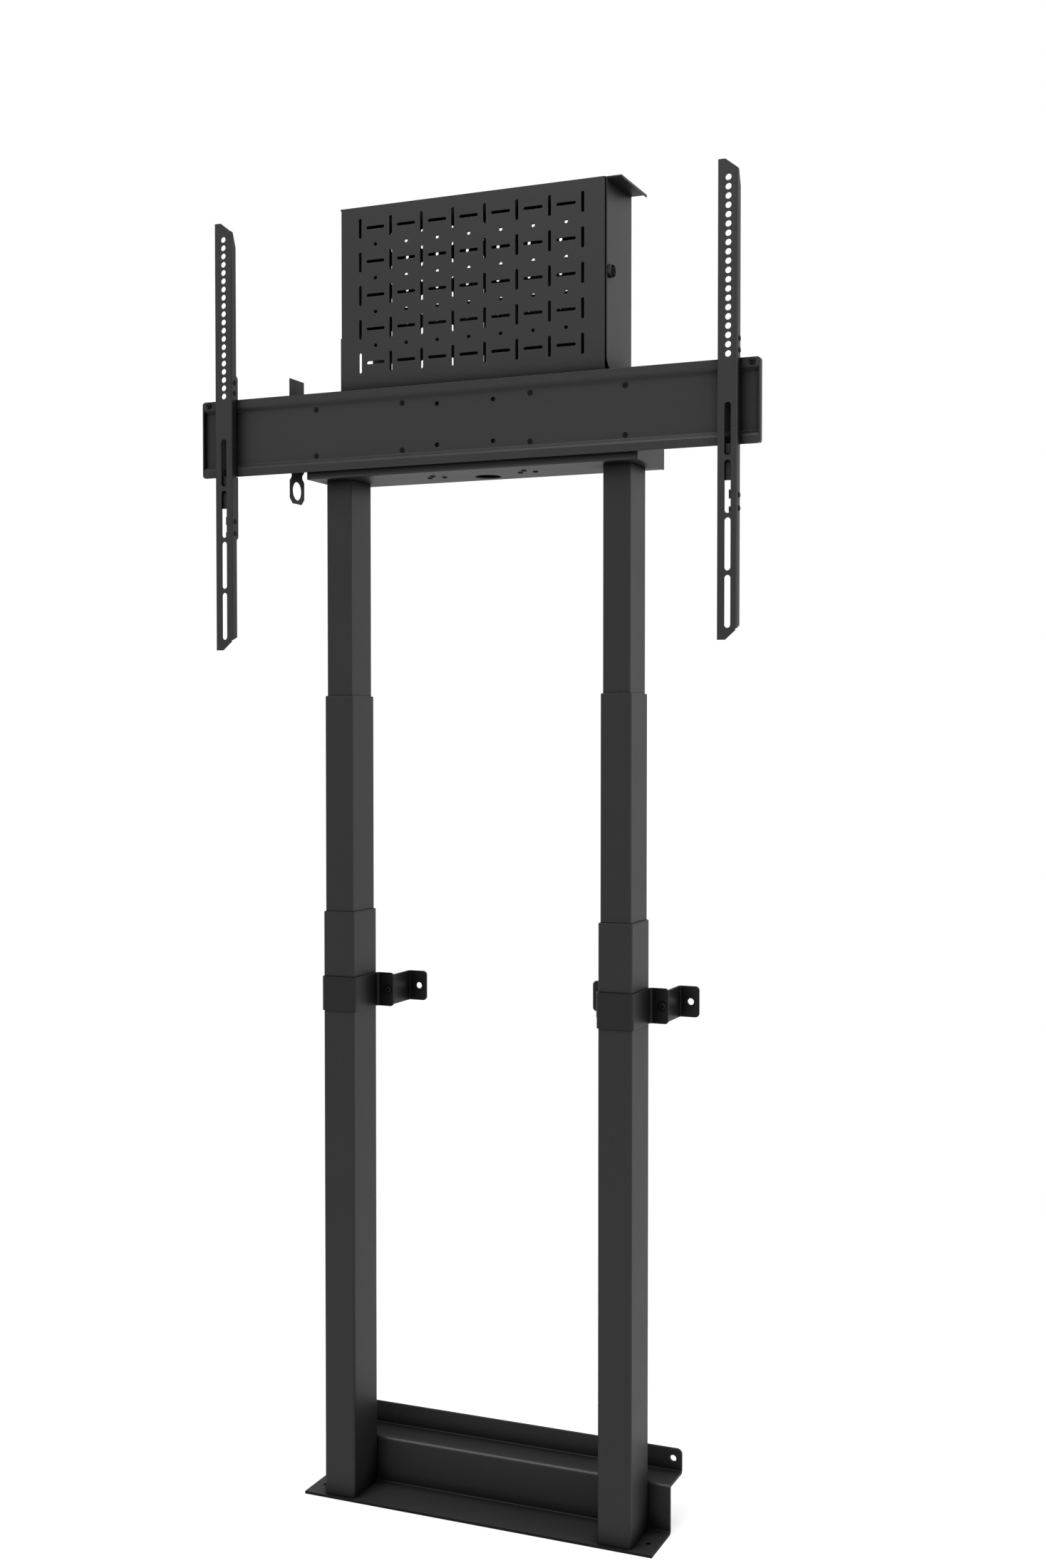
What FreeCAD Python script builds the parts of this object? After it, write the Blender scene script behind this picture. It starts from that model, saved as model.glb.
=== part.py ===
import FreeCAD, Part
import math
import os

# Telescopic lift mount for a large flat screen. It stands on the floor and is
# screwed to the wall. X runs to the right, Y runs back to the wall, Z runs up.
# The origin lies on the floor, midway between the columns and midway between
# the wall and the face that the screen is screwed to. The lift is fully raised.

V = FreeCAD.Vector

# Whole layout
COLUMN_SPACING = 449.0
COLUMN_OFFSET = 98.0

# Telescopic tubes
OUTER_WIDTH = 52.0
OUTER_DEPTH = 76.0
OUTER_WALL = 1.5
OUTER_CORNER = 4.0
OUTER_TOP = 904.0
STAGE_GAP = 1.0
MID_WALL = 1.5
MID_CORNER = 3.0
MID_LENGTH = 713.0
INNER_WALL = 1.5
INNER_CORNER = 3.0
INNER_LENGTH = 671.0
STAGE_STROKE = 325.0
MID_REVEAL = 4.0
INNER_REVEAL = 3.0

# Plastic glides in the tube mouths and round the tube feet
GLIDE_CLEARANCE = 0.1
GLIDE_HEIGHT = 40.0
RIM_HEIGHT = 1.2
RIM_SETBACK = 0.4
COLLAR_HEIGHT = 12.0
NUT_HEIGHT = 25.0

# Drive in each column
SCREW_RADIUS = 7.0
SCREW_OVERRUN = 3.0
HUB_RADIUS = 10.0
HUB_HEIGHT = 10.0
NUT_CLEARANCE = 0.05
SLEEVE_RADIUS = 11.0
SLEEVE_BORE_RADIUS = 7.6
SLEEVE_FLANGE_RADIUS = 15.0
SLEEVE_FLANGE_BORE_RADIUS = 7.3
SLEEVE_FLANGE_HEIGHT = 4.5
SLEEVE_OVERRUN = 5.0
KEYWAY_WIDTH = 3.0
KEYWAY_DEPTH = 2.0
KEY_SIDE_CLEARANCE = 0.2
KEY_TIP_CLEARANCE = 0.4
MOTOR_RADIUS = 20.0
MOTOR_LENGTH = 90.0
MOTOR_LIFT = 4.0
MOTOR_BAND_HEIGHT = 14.0
MOTOR_BAND_THICKNESS = 1.2
GEARBOX_HEIGHT = 66.0
GEARBOX_STEP_HEIGHT = 16.0
GEARBOX_STEP_INSET = 5.0

# Tube end plates and their screws
FOOT_PLATE_THICKNESS = 6.0
HEAD_PLATE_THICKNESS = 6.0
END_SCREW_X = 13.0
END_SCREW_Y = 22.0
END_SCREW_RADIUS = 3.0
END_SCREW_HEAD_RADIUS = 5.5
END_SCREW_HEAD_HEIGHT = 3.2
END_SCREW_REACH = 5.0
THREAD_CLEARANCE = 0.05
CROWN_SHARE = 0.7

# Floor and wall bracket
BASE_THICKNESS = 4.0
BASE_OVERHANG = 59.0
BASE_BEND = 2.0
BASE_RISER_HEIGHT = 74.0
BASE_FLANGE_TOP = 107.0
BASE_CORNER = 8.0
BASE_EAR_HOLE_FROM_END = 13.5
BASE_EAR_HOLE_HEIGHT = 92.0
BASE_FLOOR_HOLE_FROM_END = 17.5
BASE_FLOOR_HOLE_FROM_FRONT = 35.0
BASE_FRONT_REACH = 4.0
FIXING_HOLE_RADIUS = 5.0
FLOOR_HOLE_RADIUS = 4.0

# Straps that hold the columns to the wall
STRAP_THICKNESS = 2.5
STRAP_HEIGHT = 52.0
STRAP_CENTRE_HEIGHT = 779.5
STRAP_FLANGE_END = 56.0
STRAP_CORNER = 5.0
BRACKET_THICKNESS = 3.0
BRACKET_BEND = 1.5
BRACKET_HEIGHT = 46.0
BRACKET_HALF_WIDTH = 55.0
BRACKET_EAR_END = 84.0
BRACKET_HOLE_OFFSET = 71.0
BRACKET_CORNER = 6.0
STRAP_SCREW_OFFSET = 47.5
STRAP_SCREW_RADIUS = 3.0
STRAP_SCREW_HEAD_RADIUS = 5.5
STRAP_SCREW_HEAD_HEIGHT = 3.5
STRAP_SCREW_REACH = 4.0

# Crossbeam on the column heads
BEAM_OVERHANG = 40.5
BEAM_DEPTH = 116.0
BEAM_HEIGHT = 128.5
BEAM_THICKNESS = 2.0
BEAM_BEND = 1.5
BEAM_LIP = 32.0
CABLE_HOLE_RADIUS = 20.0
CABLE_HOLE_FROM_REAR = 36.0
COVER_THICKNESS = 2.0
CAP_THICKNESS = 2.0
CAP_FLANGE = 12.0
CASE_LENGTH = 150.0
CASE_DEPTH = 62.0
CASE_HEIGHT = 40.0
CASE_CORNER = 5.0
CASE_TO_COLUMN = 39.5
CASE_SCREW_FROM_END = (27.0, 39.0, 51.0)
CASE_SCREW_FROM_FRONT = (58.0, 42.0, 58.0)
CASE_SCREW_RADIUS = 2.0
CASE_SCREW_HEAD_RADIUS = 4.0
CASE_SCREW_HEAD_HEIGHT = 1.6
CASE_SCREW_REACH = 6.0

# Long bar that carries the arms
BAR_OVERHANG = 44.5
BAR_CENTRE_RISE = 68.5
BAR_HEIGHT = 117.0
BAR_THICKNESS = 3.0
BAR_RECESS = 6.0
BAR_LIP_HEIGHT = 12.0
BAR_BEND = 2.0
BAR_CORNER = 5.0
BAR_END_THICKNESS = 2.5
BAR_SCREW_INNER_X = 102.5
BAR_SCREW_FROM_BEAM_END = 17.5
BAR_SCREW_Z = 35.0
BAR_SCREW_RADIUS = 3.0
BAR_SCREW_HEAD_RADIUS = 4.8
BAR_SCREW_REACH = 6.0
BAR_HOLE_X = 45.0
BAR_HOLE_Z = 30.0
BAR_HOLE_RADIUS = 3.5
STOP_FROM_END = 11.5
STOP_FROM_EDGE = 6.0
STOP_RADIUS = 4.0
STOP_HEIGHT = 3.0
STOP_SHANK_RADIUS = 2.0

# Upright arms for the screen
ARM_SPACING = 800.0
ARM_SHIFT = 3.0
ARM_LENGTH = 650.0
ARM_WIDTH = 27.5
ARM_DEPTH = 15.0
ARM_THICKNESS = 2.5
ARM_BEND = 1.5
ARM_HOLE_FROM_EDGE = 14.3
ARM_HOLE_RADIUS = 4.5
ARM_HOLE_PITCH = 12.5
ARM_HOLE_COUNT = 20
ARM_TOP_HOLE = 300.0
ARM_SLOT_LENGTH = 72.0
ARM_SLOT_WIDTH = 9.0
ARM_SLOT_PITCH = 78.0
ARM_SLOT_COUNT = 4
ARM_FIRST_SLOT = -39.0
ARM_TOP_FLAT = 10.0
ARM_TOP_DROP = 13.5
ARM_TAPER_LENGTH = 35.0
ARM_TAPER_DEPTH = 8.0
ARM_FOOT_FLAT = 11.0
ARM_FOOT_RISE = 14.5
ARM_FOOT_REAR_RISE = 20.0

# Hooks and locks behind the arms
HOOK_THICKNESS = 3.0
HOOK_TOP = 98.0
HOOK_BOTTOM = -157.0
HOOK_FRONT_GAP = 4.0
HOOK_CHAMFER = 6.0
HOOK_TIP_DROP = 9.5
HOOK_FIT = 0.3
HOOK_BEAM_GAP = 0.5
HOOK_TAB_WIDTH = 7.0
HOOK_TAB_LOW = -151.0
HOOK_TAB_HIGH = -121.0
HOOK_NOTCH_LOW = -144.0
HOOK_NOTCH_HIGH = -133.0
HOOK_NOTCH_DEPTH = 3.0
LOCK_THICKNESS = 3.0
LOCK_BOTTOM = -108.0
LOCK_TIP_RISE = 9.5
LOCK_TRAVEL = 12.0
LOCK_WEB_WIDTH = 14.0
LOCK_SCREW_Z = (-74.0, -92.0)
LOCK_SCREW_FROM_FRONT = 14.0
LOCK_SCREW_RADIUS = 2.5
LOCK_SCREW_HEAD_RADIUS = 4.5
LOCK_SCREW_HEAD_HEIGHT = 2.5
RIVET_Z = (84.0, 68.0, -128.0, -146.0)
RIVET_RADIUS = 2.5
RIVET_HEAD_RADIUS = 3.8
RIVET_HEAD_HEIGHT = 1.2
RIVET_FROM_FRONT = 11.0

# Cable ring at the left
RING_FROM_BEAM_END = 29.5
RING_THICKNESS = 2.0
RING_RISE = 86.5
RING_PLATE_DEPTH = 41.0
RING_NECK_DEPTH = 29.0
RING_NECK_DROP = 57.5
RING_DROP = 101.5
RING_HOLE_RADIUS = 14.0
RING_HOLE_DROP = 82.0
RING_CHAMFER = 8.0
RING_FLANGE_WIDTH = 26.0
RING_FLANGE_HEIGHT = 60.0
RING_BEND = 1.5

# Perforated holder for a media player
HOLDER_WIDTH = 423.5
HOLDER_HEIGHT = 273.5
HOLDER_SETBACK = 10.0
SHEET = 2.0
HOLDER_BEND = 1.5
HOLDER_FOOT_DEPTH = 18.0
HOLDER_FOOT_FRONT = 11.0
CORNER_STRIP = 8.0
HOLDER_FOOT_EAR = 12.0
SLOT_COLUMNS = 8
COLUMN_PITCH = 51.0
ROW_PITCH = 50.0
FIRST_ROW_FROM_TOP = 32.0
SLOT_LENGTH = 30.0
SLOT_WIDTH = 4.6
DOT_RADIUS = 2.8
TRAY_ROOF_OVERHANG = 24.0
TRAY_LIP = 5.0
TRAY_FRONT_GAP = 0.7
TRAY_SIDE_GAP = 0.75
TRAY_GAP = 0.5
TRAY_PATTERN_SHIFT_X = 1.3
TRAY_PATTERN_SHIFT_Z = 5.0
TRAY_CORNER = 15.0
LEFT_CHEEK_FOOT_SHARE = 81.0 / 274.0
TRAY_BOTTOM_GAP = 0.3
RIGHT_CHEEK_GAP = 5.0
RAIL_HEIGHT = 12.0
RAIL_WALL = 1.5
RAIL_FLOOR = 2.0
RAIL_FOOT = 11.0
RAIL_CLEARANCE = 0.3
CLIP_FROM_EDGE = 61.75
CLIP_WIDTH = 30.0
CLIP_DEPTH = 12.0
LUG_DEPTH = 16.0
LUG_HEIGHT = 22.0
KNOB_HEIGHT_SHARE = 0.52
KNOB_FROM_FRONT = 9.0
KNOB_RADIUS = 7.5
KNOB_LENGTH = 7.0
KNOB_ROUND = 1.5
KNOB_GROOVES = 12
KNOB_GROOVE_RADIUS = 1.0
KNOB_SHAFT_RADIUS = 2.5
KNOB_SHAFT_LENGTH = 7.0
EAR_SCREW_FROM_EDGE = 5.75
FOOT_SCREW_INNER_X = 70.0
FOOT_SCREW_FROM_EDGE = 11.75
RAIL_SCREW_FROM_EDGE = 31.75
TOP_SCREW_RADIUS = 2.0
TOP_SCREW_HEAD_RADIUS = 4.0
TOP_SCREW_HEAD_HEIGHT = 2.2
TOP_SCREW_REACH = 8.0

# Places that follow from the sizes above
TOTAL_DEPTH = COLUMN_OFFSET + BEAM_DEPTH / 2 + BAR_THICKNESS + BAR_RECESS + ARM_DEPTH
COLUMN_X = {"left": -COLUMN_SPACING / 2, "right": COLUMN_SPACING / 2}
WALL = TOTAL_DEPTH / 2
COLUMN_Y = WALL - COLUMN_OFFSET
TUBE_FOOT = BASE_THICKNESS
MID_WIDTH = OUTER_WIDTH - 2 * (OUTER_WALL + STAGE_GAP)
MID_DEPTH = OUTER_DEPTH - 2 * (OUTER_WALL + STAGE_GAP)
INNER_WIDTH = MID_WIDTH - 2 * (MID_WALL + STAGE_GAP)
INNER_DEPTH = MID_DEPTH - 2 * (MID_WALL + STAGE_GAP)
MID_TOP = OUTER_TOP + MID_REVEAL + STAGE_STROKE
MID_FOOT = MID_TOP - MID_LENGTH
INNER_TOP = MID_TOP + INNER_REVEAL + STAGE_STROKE
INNER_FOOT = INNER_TOP - INNER_LENGTH
COLUMN_FRONT = COLUMN_Y - OUTER_DEPTH / 2
COLUMN_REAR = COLUMN_Y + OUTER_DEPTH / 2
FOOT_PLATE_TOP = TUBE_FOOT + FOOT_PLATE_THICKNESS
MOTOR_FOOT = FOOT_PLATE_TOP + MOTOR_LIFT
GEARBOX_FOOT = MOTOR_FOOT + MOTOR_LENGTH
GEARBOX_TOP = GEARBOX_FOOT + GEARBOX_HEIGHT
LOWER_NUT_TOP = MID_FOOT + NUT_HEIGHT
UPPER_NUT_TOP = INNER_FOOT + NUT_HEIGHT
BEAM_FOOT = INNER_TOP
BEAM_TOP = BEAM_FOOT + BEAM_HEIGHT
BEAM_LENGTH = COLUMN_SPACING + 2 * BEAM_OVERHANG
CASE_FROM_CENTRE = COLUMN_SPACING / 2 - CASE_TO_COLUMN - CASE_LENGTH
BASE_WIDTH = COLUMN_SPACING + 2 * BASE_OVERHANG
BASE_EAR_HOLE_SPACING = BASE_WIDTH - 2 * BASE_EAR_HOLE_FROM_END
BASE_FLOOR_HOLE_SPACING = BASE_WIDTH - 2 * BASE_FLOOR_HOLE_FROM_END
BAR_LENGTH = ARM_SPACING + 2 * BAR_OVERHANG
BAR_SCREW_X = (BAR_SCREW_INNER_X, BEAM_LENGTH / 2 - BAR_SCREW_FROM_BEAM_END)
SCREEN_CENTRE_HEIGHT = BEAM_FOOT + BAR_CENTRE_RISE
RING_X = -BEAM_LENGTH / 2 - RING_FROM_BEAM_END
RING_TOP = SCREEN_CENTRE_HEIGHT + RING_RISE
RING_NECK_HEIGHT = SCREEN_CENTRE_HEIGHT - RING_NECK_DROP
RING_BOTTOM = SCREEN_CENTRE_HEIGHT - RING_DROP
RING_HOLE_HEIGHT = SCREEN_CENTRE_HEIGHT - RING_HOLE_DROP
HOLDER_TOP = BEAM_TOP + HOLDER_HEIGHT
SLOT_ROWS = int(HOLDER_HEIGHT / ROW_PITCH)
LEFT_CHEEK_BOTTOM = BEAM_TOP + HOLDER_HEIGHT * LEFT_CHEEK_FOOT_SHARE
KNOB_HEIGHT = BEAM_TOP + HOLDER_HEIGHT * KNOB_HEIGHT_SHARE
BEAM_FRONT = COLUMN_Y - BEAM_DEPTH / 2
BEAM_REAR = COLUMN_Y + BEAM_DEPTH / 2
WEB_FRONT = BEAM_FRONT - BAR_THICKNESS
BAR_FRONT = WEB_FRONT - BAR_RECESS
SCREEN_FACE = WALL - TOTAL_DEPTH
HOOK_REAR = BEAM_FRONT - HOOK_BEAM_GAP
HALF_HOLDER = HOLDER_WIDTH / 2
CLIP_X = HALF_HOLDER - CLIP_FROM_EDGE
FOOT_SCREW_X = (
    -HALF_HOLDER - EAR_SCREW_FROM_EDGE,
    -FOOT_SCREW_INNER_X,
    FOOT_SCREW_INNER_X,
    HALF_HOLDER - FOOT_SCREW_FROM_EDGE,
)
RAIL_SCREW_X = (RAIL_SCREW_FROM_EDGE - HALF_HOLDER, 0.0, HALF_HOLDER - RAIL_SCREW_FROM_EDGE)
CHEEK_INSIDE = HALF_HOLDER + TRAY_SIDE_GAP
HOLDER_FRONT = BEAM_FRONT + HOLDER_SETBACK
TRAY_FRONT = HOLDER_FRONT + SHEET + TRAY_FRONT_GAP
TRAY_REAR = BEAM_REAR - RAIL_WALL - RAIL_CLEARANCE
RAIL_FRONT = TRAY_REAR - SHEET - RAIL_CLEARANCE - RAIL_WALL
TRAY_BOTTOM = BEAM_TOP + RAIL_FLOOR + TRAY_BOTTOM_GAP


def block(x0, x1, y0, y1, z0, z1):
    """Plain block between two corners."""
    return Part.makeBox(x1 - x0, y1 - y0, z1 - z0, V(x0, y0, z0))


def rod(radius, start, end):
    """Round rod between two points."""
    line = end - start
    return Part.makeCylinder(radius, line.Length, start, line)


def fused(shapes):
    """One solid from touching shapes, with the seams taken out."""
    whole = shapes[0].fuse(shapes[1:]) if len(shapes) > 1 else shapes[0]
    return whole.removeSplitter()


def cut_all(shape, tools):
    """Shape with all the tools taken away."""
    return shape.cut(Part.makeCompound(tools))


def rounded_outline(width, depth, radius, x, y, z):
    """Flat rounded rectangle about a centre, as a closed wire."""
    hw = width / 2 - radius
    hd = depth / 2 - radius
    turn = radius * math.sqrt(0.5)
    edges = []
    corners = ((1, -1), (1, 1), (-1, 1), (-1, -1))
    starts = ((0, -1), (1, 0), (0, 1), (-1, 0))
    ends = ((1, 0), (0, 1), (-1, 0), (0, -1))
    last = None
    first = None
    for corner, start, end in zip(corners, starts, ends):
        centre = V(x + corner[0] * hw, y + corner[1] * hd, z)
        begin = centre + V(start[0] * radius, start[1] * radius, 0)
        finish = centre + V(end[0] * radius, end[1] * radius, 0)
        middle = centre + V(corner[0] * turn, corner[1] * turn, 0)
        if last is None:
            first = begin
        else:
            edges.append(Part.LineSegment(last, begin).toShape())
        edges.append(Part.Arc(begin, middle, finish).toShape())
        last = finish
    edges.append(Part.LineSegment(last, first).toShape())
    return Part.Wire(edges)


def rounded_block(width, depth, radius, x, y, z0, z1):
    """Upright block with rounded corners."""
    face = Part.Face(rounded_outline(width, depth, radius, x, y, z0))
    return face.extrude(V(0, 0, z1 - z0))


def rounded_ring(outside, inside, x, y, z0, z1):
    """Upright hollow section. Each side is width, depth and corner radius."""
    outer = rounded_block(*outside, x, y, z0, z1)
    return outer.cut(rounded_block(*inside, x, y, z0, z1))


def bent_sheet(path, thickness, bend, at, length):
    """Bent sheet. The path is its centre line, and at() places a path point."""
    half = thickness / 2
    mean = bend + half
    points = [V(u, v, 0) for u, v in path]
    runs = [(b - a).normalize() for a, b in zip(points, points[1:])]
    sides = [V(-run.y, run.x, 0) for run in runs]
    left = []
    right = []
    begin = points[0]
    for i, run in enumerate(runs):
        end = points[i + 1]
        turning = i + 1 < len(runs)
        if turning:
            turn = run.x * runs[i + 1].y - run.y * runs[i + 1].x
            way = 1 if turn > 0 else -1
            angle = run.getAngle(runs[i + 1])
            trim = mean * math.tan(angle / 2)
            end = end - run * trim
        left.append((begin + sides[i] * half, end + sides[i] * half))
        right.append((begin - sides[i] * half, end - sides[i] * half))
        if turning:
            centre = end + sides[i] * (way * mean)
            spoke = (sides[i] + sides[i + 1]).normalize() * way
            begin = points[i + 1] + runs[i + 1] * trim
            near = centre - spoke * (mean - way * half)
            far = centre - spoke * (mean + way * half)
            left.append((end + sides[i] * half, near, begin + sides[i + 1] * half))
            right.append((end - sides[i] * half, far, begin - sides[i + 1] * half))
    outline = left + [(left[-1][-1], right[-1][-1])]
    outline += [tuple(reversed(piece)) for piece in reversed(right)]
    outline.append((right[0][0], left[0][0]))
    edges = []
    for piece in outline:
        placed = [at(point.x, point.y) for point in piece]
        if len(placed) == 3:
            edges.append(Part.Arc(*placed).toShape())
        else:
            edges.append(Part.LineSegment(*placed).toShape())
    return Part.Face(Part.Wire(edges)).extrude(length)


def flat_plate(points, offset, thickness):
    """Plate in a plane across X. Points are (y, z), thickness runs along +X."""
    corners = [V(offset, y, z) for y, z in points]
    face = Part.Face(Part.makePolygon(corners + corners[:1]))
    return face.extrude(V(thickness, 0, 0))


def slot_outline(x, y, z, length, width, along):
    """Slot with round ends in a plane across Y, along X or Z."""
    radius = width / 2
    reach = length / 2 - radius
    run = V(1, 0, 0) if along == "x" else V(0, 0, 1)
    side = V(0, 0, 1) if along == "x" else V(1, 0, 0)
    centre = V(x, y, z)
    near = centre - run * reach
    far = centre + run * reach
    edges = [
        Part.LineSegment(near + side * radius, far + side * radius).toShape(),
        Part.Arc(far + side * radius, far + run * radius, far - side * radius).toShape(),
        Part.LineSegment(far - side * radius, near - side * radius).toShape(),
        Part.Arc(near - side * radius, near - run * radius, near + side * radius).toShape(),
    ]
    return Part.Wire(edges)


def pan_screw(start, way, head_radius, head_height, shank_radius, shank_length):
    """Screw with a low conical head. Way points from head to tip."""
    crown = head_radius * CROWN_SHARE
    head = Part.makeCone(head_radius, crown, head_height, start, way * -1)
    return head.fuse(rod(shank_radius, start, start + way * shank_length))


def countersunk_screw(start, way, head_radius, shank_radius, length):
    """Screw with a head that lies flush with the face it starts from."""
    sink = head_radius - shank_radius
    head = Part.makeCone(head_radius, shank_radius, sink, start, way)
    return fused([head, rod(shank_radius, start, start + way * length)])


def round_corners(shape, radius, picks):
    """Shape with the straight edges that picks() chooses rounded."""
    edges = [edge for edge in shape.Edges if picks(edge)]
    return shape.makeFillet(radius, edges)


def edge_between(edge, a, b):
    """True when an edge joins two points, in either order."""
    ends = [vertex.Point for vertex in edge.Vertexes]
    if len(ends) != 2:
        return False
    near = min((ends[0] - a).Length, (ends[1] - a).Length)
    far = min((ends[0] - b).Length, (ends[1] - b).Length)
    return near < 0.01 and far < 0.01


def end_screw_places(side):
    """Four screw places on one column's end plate."""
    return [
        (COLUMN_X[side] + sx * END_SCREW_X, COLUMN_Y + sy * END_SCREW_Y)
        for sx in (-1, 1)
        for sy in (-1, 1)
    ]


def outer_inside():
    """Room inside the outer tube, as width, depth and corner radius."""
    return (
        OUTER_WIDTH - 2 * OUTER_WALL,
        OUTER_DEPTH - 2 * OUTER_WALL,
        OUTER_CORNER - OUTER_WALL,
    )


def mid_inside():
    """Room inside the middle tube."""
    return (MID_WIDTH - 2 * MID_WALL, MID_DEPTH - 2 * MID_WALL, MID_CORNER - MID_WALL)


def inner_inside():
    """Room inside the inner tube."""
    return (
        INNER_WIDTH - 2 * INNER_WALL,
        INNER_DEPTH - 2 * INNER_WALL,
        INNER_CORNER - INNER_WALL,
    )


def outer_tube(side):
    """Fixed lower tube of a column."""
    outside = (OUTER_WIDTH, OUTER_DEPTH, OUTER_CORNER)
    return rounded_ring(outside, outer_inside(), COLUMN_X[side], COLUMN_Y, TUBE_FOOT, OUTER_TOP)


def mid_tube(side):
    """Middle tube of a column."""
    outside = (MID_WIDTH, MID_DEPTH, MID_CORNER)
    return rounded_ring(outside, mid_inside(), COLUMN_X[side], COLUMN_Y, MID_FOOT, MID_TOP)


def inner_tube(side):
    """Upper tube of a column, which carries the crossbeam."""
    outside = (INNER_WIDTH, INNER_DEPTH, INNER_CORNER)
    return rounded_ring(outside, inner_inside(), COLUMN_X[side], COLUMN_Y, INNER_FOOT, INNER_TOP)


def mouth_glide(side, room, tube, top):
    """Plastic sleeve in a tube's mouth, with a rim that caps the tube's edge."""
    x = COLUMN_X[side]
    slide = [tube[0] + 2 * GLIDE_CLEARANCE, tube[1] + 2 * GLIDE_CLEARANCE, tube[2] + GLIDE_CLEARANCE]
    sleeve = rounded_ring(room, slide, x, COLUMN_Y, top - GLIDE_HEIGHT, top)
    wall = OUTER_WALL - RIM_SETBACK
    cap = (room[0] + 2 * wall, room[1] + 2 * wall, room[2] + wall)
    rim = rounded_ring(cap, slide, x, COLUMN_Y, top, top + RIM_HEIGHT)
    return fused([sleeve, rim])


def outer_glide(side):
    """Glide between the outer and the middle tube."""
    return mouth_glide(side, outer_inside(), (MID_WIDTH, MID_DEPTH, MID_CORNER), OUTER_TOP)


def mid_glide(side):
    """Glide between the middle and the inner tube."""
    return mouth_glide(side, mid_inside(), (INNER_WIDTH, INNER_DEPTH, INNER_CORNER), MID_TOP)


def drive_nut(side, plug, room, foot, bore):
    """Nut block in a tube's foot, with a collar that glides in the next tube."""
    x = COLUMN_X[side]
    body = rounded_block(*plug, x, COLUMN_Y, foot, foot + NUT_HEIGHT)
    slide = (
        room[0] - 2 * GLIDE_CLEARANCE,
        room[1] - 2 * GLIDE_CLEARANCE,
        room[2] - GLIDE_CLEARANCE,
    )
    collar = rounded_block(*slide, x, COLUMN_Y, foot - COLLAR_HEIGHT, foot)
    low = V(x, COLUMN_Y, foot - COLLAR_HEIGHT)
    high = V(x, COLUMN_Y, foot + NUT_HEIGHT)
    return fused([body, collar]).cut(rod(bore, low, high))


def lower_nut(side):
    """Nut that lifts the middle tube."""
    bore = SCREW_RADIUS + NUT_CLEARANCE
    return drive_nut(side, mid_inside(), outer_inside(), MID_FOOT, bore)


def upper_nut(side):
    """Nut that lifts the inner tube."""
    bore = SLEEVE_RADIUS + NUT_CLEARANCE
    return drive_nut(side, inner_inside(), mid_inside(), INNER_FOOT, bore)


def lower_screw(side):
    """Keyed screw that the gearbox turns."""
    x = COLUMN_X[side]
    top = LOWER_NUT_TOP + SCREW_OVERRUN
    shaft = rod(SCREW_RADIUS, V(x, COLUMN_Y, GEARBOX_TOP), V(x, COLUMN_Y, top))
    hub = rod(HUB_RADIUS, V(x, COLUMN_Y, GEARBOX_TOP), V(x, COLUMN_Y, GEARBOX_TOP + HUB_HEIGHT))
    groove = block(
        x - KEYWAY_WIDTH / 2,
        x + KEYWAY_WIDTH / 2,
        COLUMN_Y - SCREW_RADIUS - KEYWAY_DEPTH,
        COLUMN_Y - SCREW_RADIUS + KEYWAY_DEPTH,
        GEARBOX_TOP + HUB_HEIGHT,
        top,
    )
    return fused([shaft, hub]).cut(groove)


def upper_screw(side):
    """Hollow screw on the lower nut, turned by the lower screw through a key."""
    x = COLUMN_X[side]
    foot = V(x, COLUMN_Y, LOWER_NUT_TOP)
    neck = V(x, COLUMN_Y, LOWER_NUT_TOP + SLEEVE_FLANGE_HEIGHT)
    top = V(x, COLUMN_Y, UPPER_NUT_TOP + SLEEVE_OVERRUN)
    sleeve = rod(SLEEVE_RADIUS, neck, top).cut(rod(SLEEVE_BORE_RADIUS, neck, top))
    flange = rod(SLEEVE_FLANGE_RADIUS, foot, neck).cut(rod(SLEEVE_FLANGE_BORE_RADIUS, foot, neck))
    half_key = KEYWAY_WIDTH / 2 - KEY_SIDE_CLEARANCE
    floor = SCREW_RADIUS - KEYWAY_DEPTH
    key = block(
        x - half_key,
        x + half_key,
        COLUMN_Y - (SLEEVE_BORE_RADIUS + SLEEVE_FLANGE_RADIUS) / 2,
        COLUMN_Y - floor - KEY_TIP_CLEARANCE,
        LOWER_NUT_TOP,
        LOWER_NUT_TOP + SCREW_OVERRUN,
    )
    return fused([sleeve, flange, key])


def motor(side):
    """Motor can with its two end bells."""
    x = COLUMN_X[side]
    can = rod(MOTOR_RADIUS, V(x, COLUMN_Y, MOTOR_FOOT), V(x, COLUMN_Y, GEARBOX_FOOT))
    bells = []
    for low in (MOTOR_FOOT, GEARBOX_FOOT - MOTOR_BAND_HEIGHT):
        high = low + MOTOR_BAND_HEIGHT
        bells.append(rod(MOTOR_RADIUS + MOTOR_BAND_THICKNESS, V(x, COLUMN_Y, low), V(x, COLUMN_Y, high)))
    return fused([can] + bells)


def gearbox(side):
    """Gearbox housing that fills the outer tube, with a stepped foot."""
    x = COLUMN_X[side]
    full = outer_inside()
    slim = (full[0] - 2 * GEARBOX_STEP_INSET, full[1] - 2 * GEARBOX_STEP_INSET, full[2])
    step = GEARBOX_FOOT + GEARBOX_STEP_HEIGHT
    foot = rounded_block(*slim, x, COLUMN_Y, GEARBOX_FOOT, step)
    body = rounded_block(*full, x, COLUMN_Y, step, GEARBOX_TOP)
    return fused([foot, body])


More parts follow.
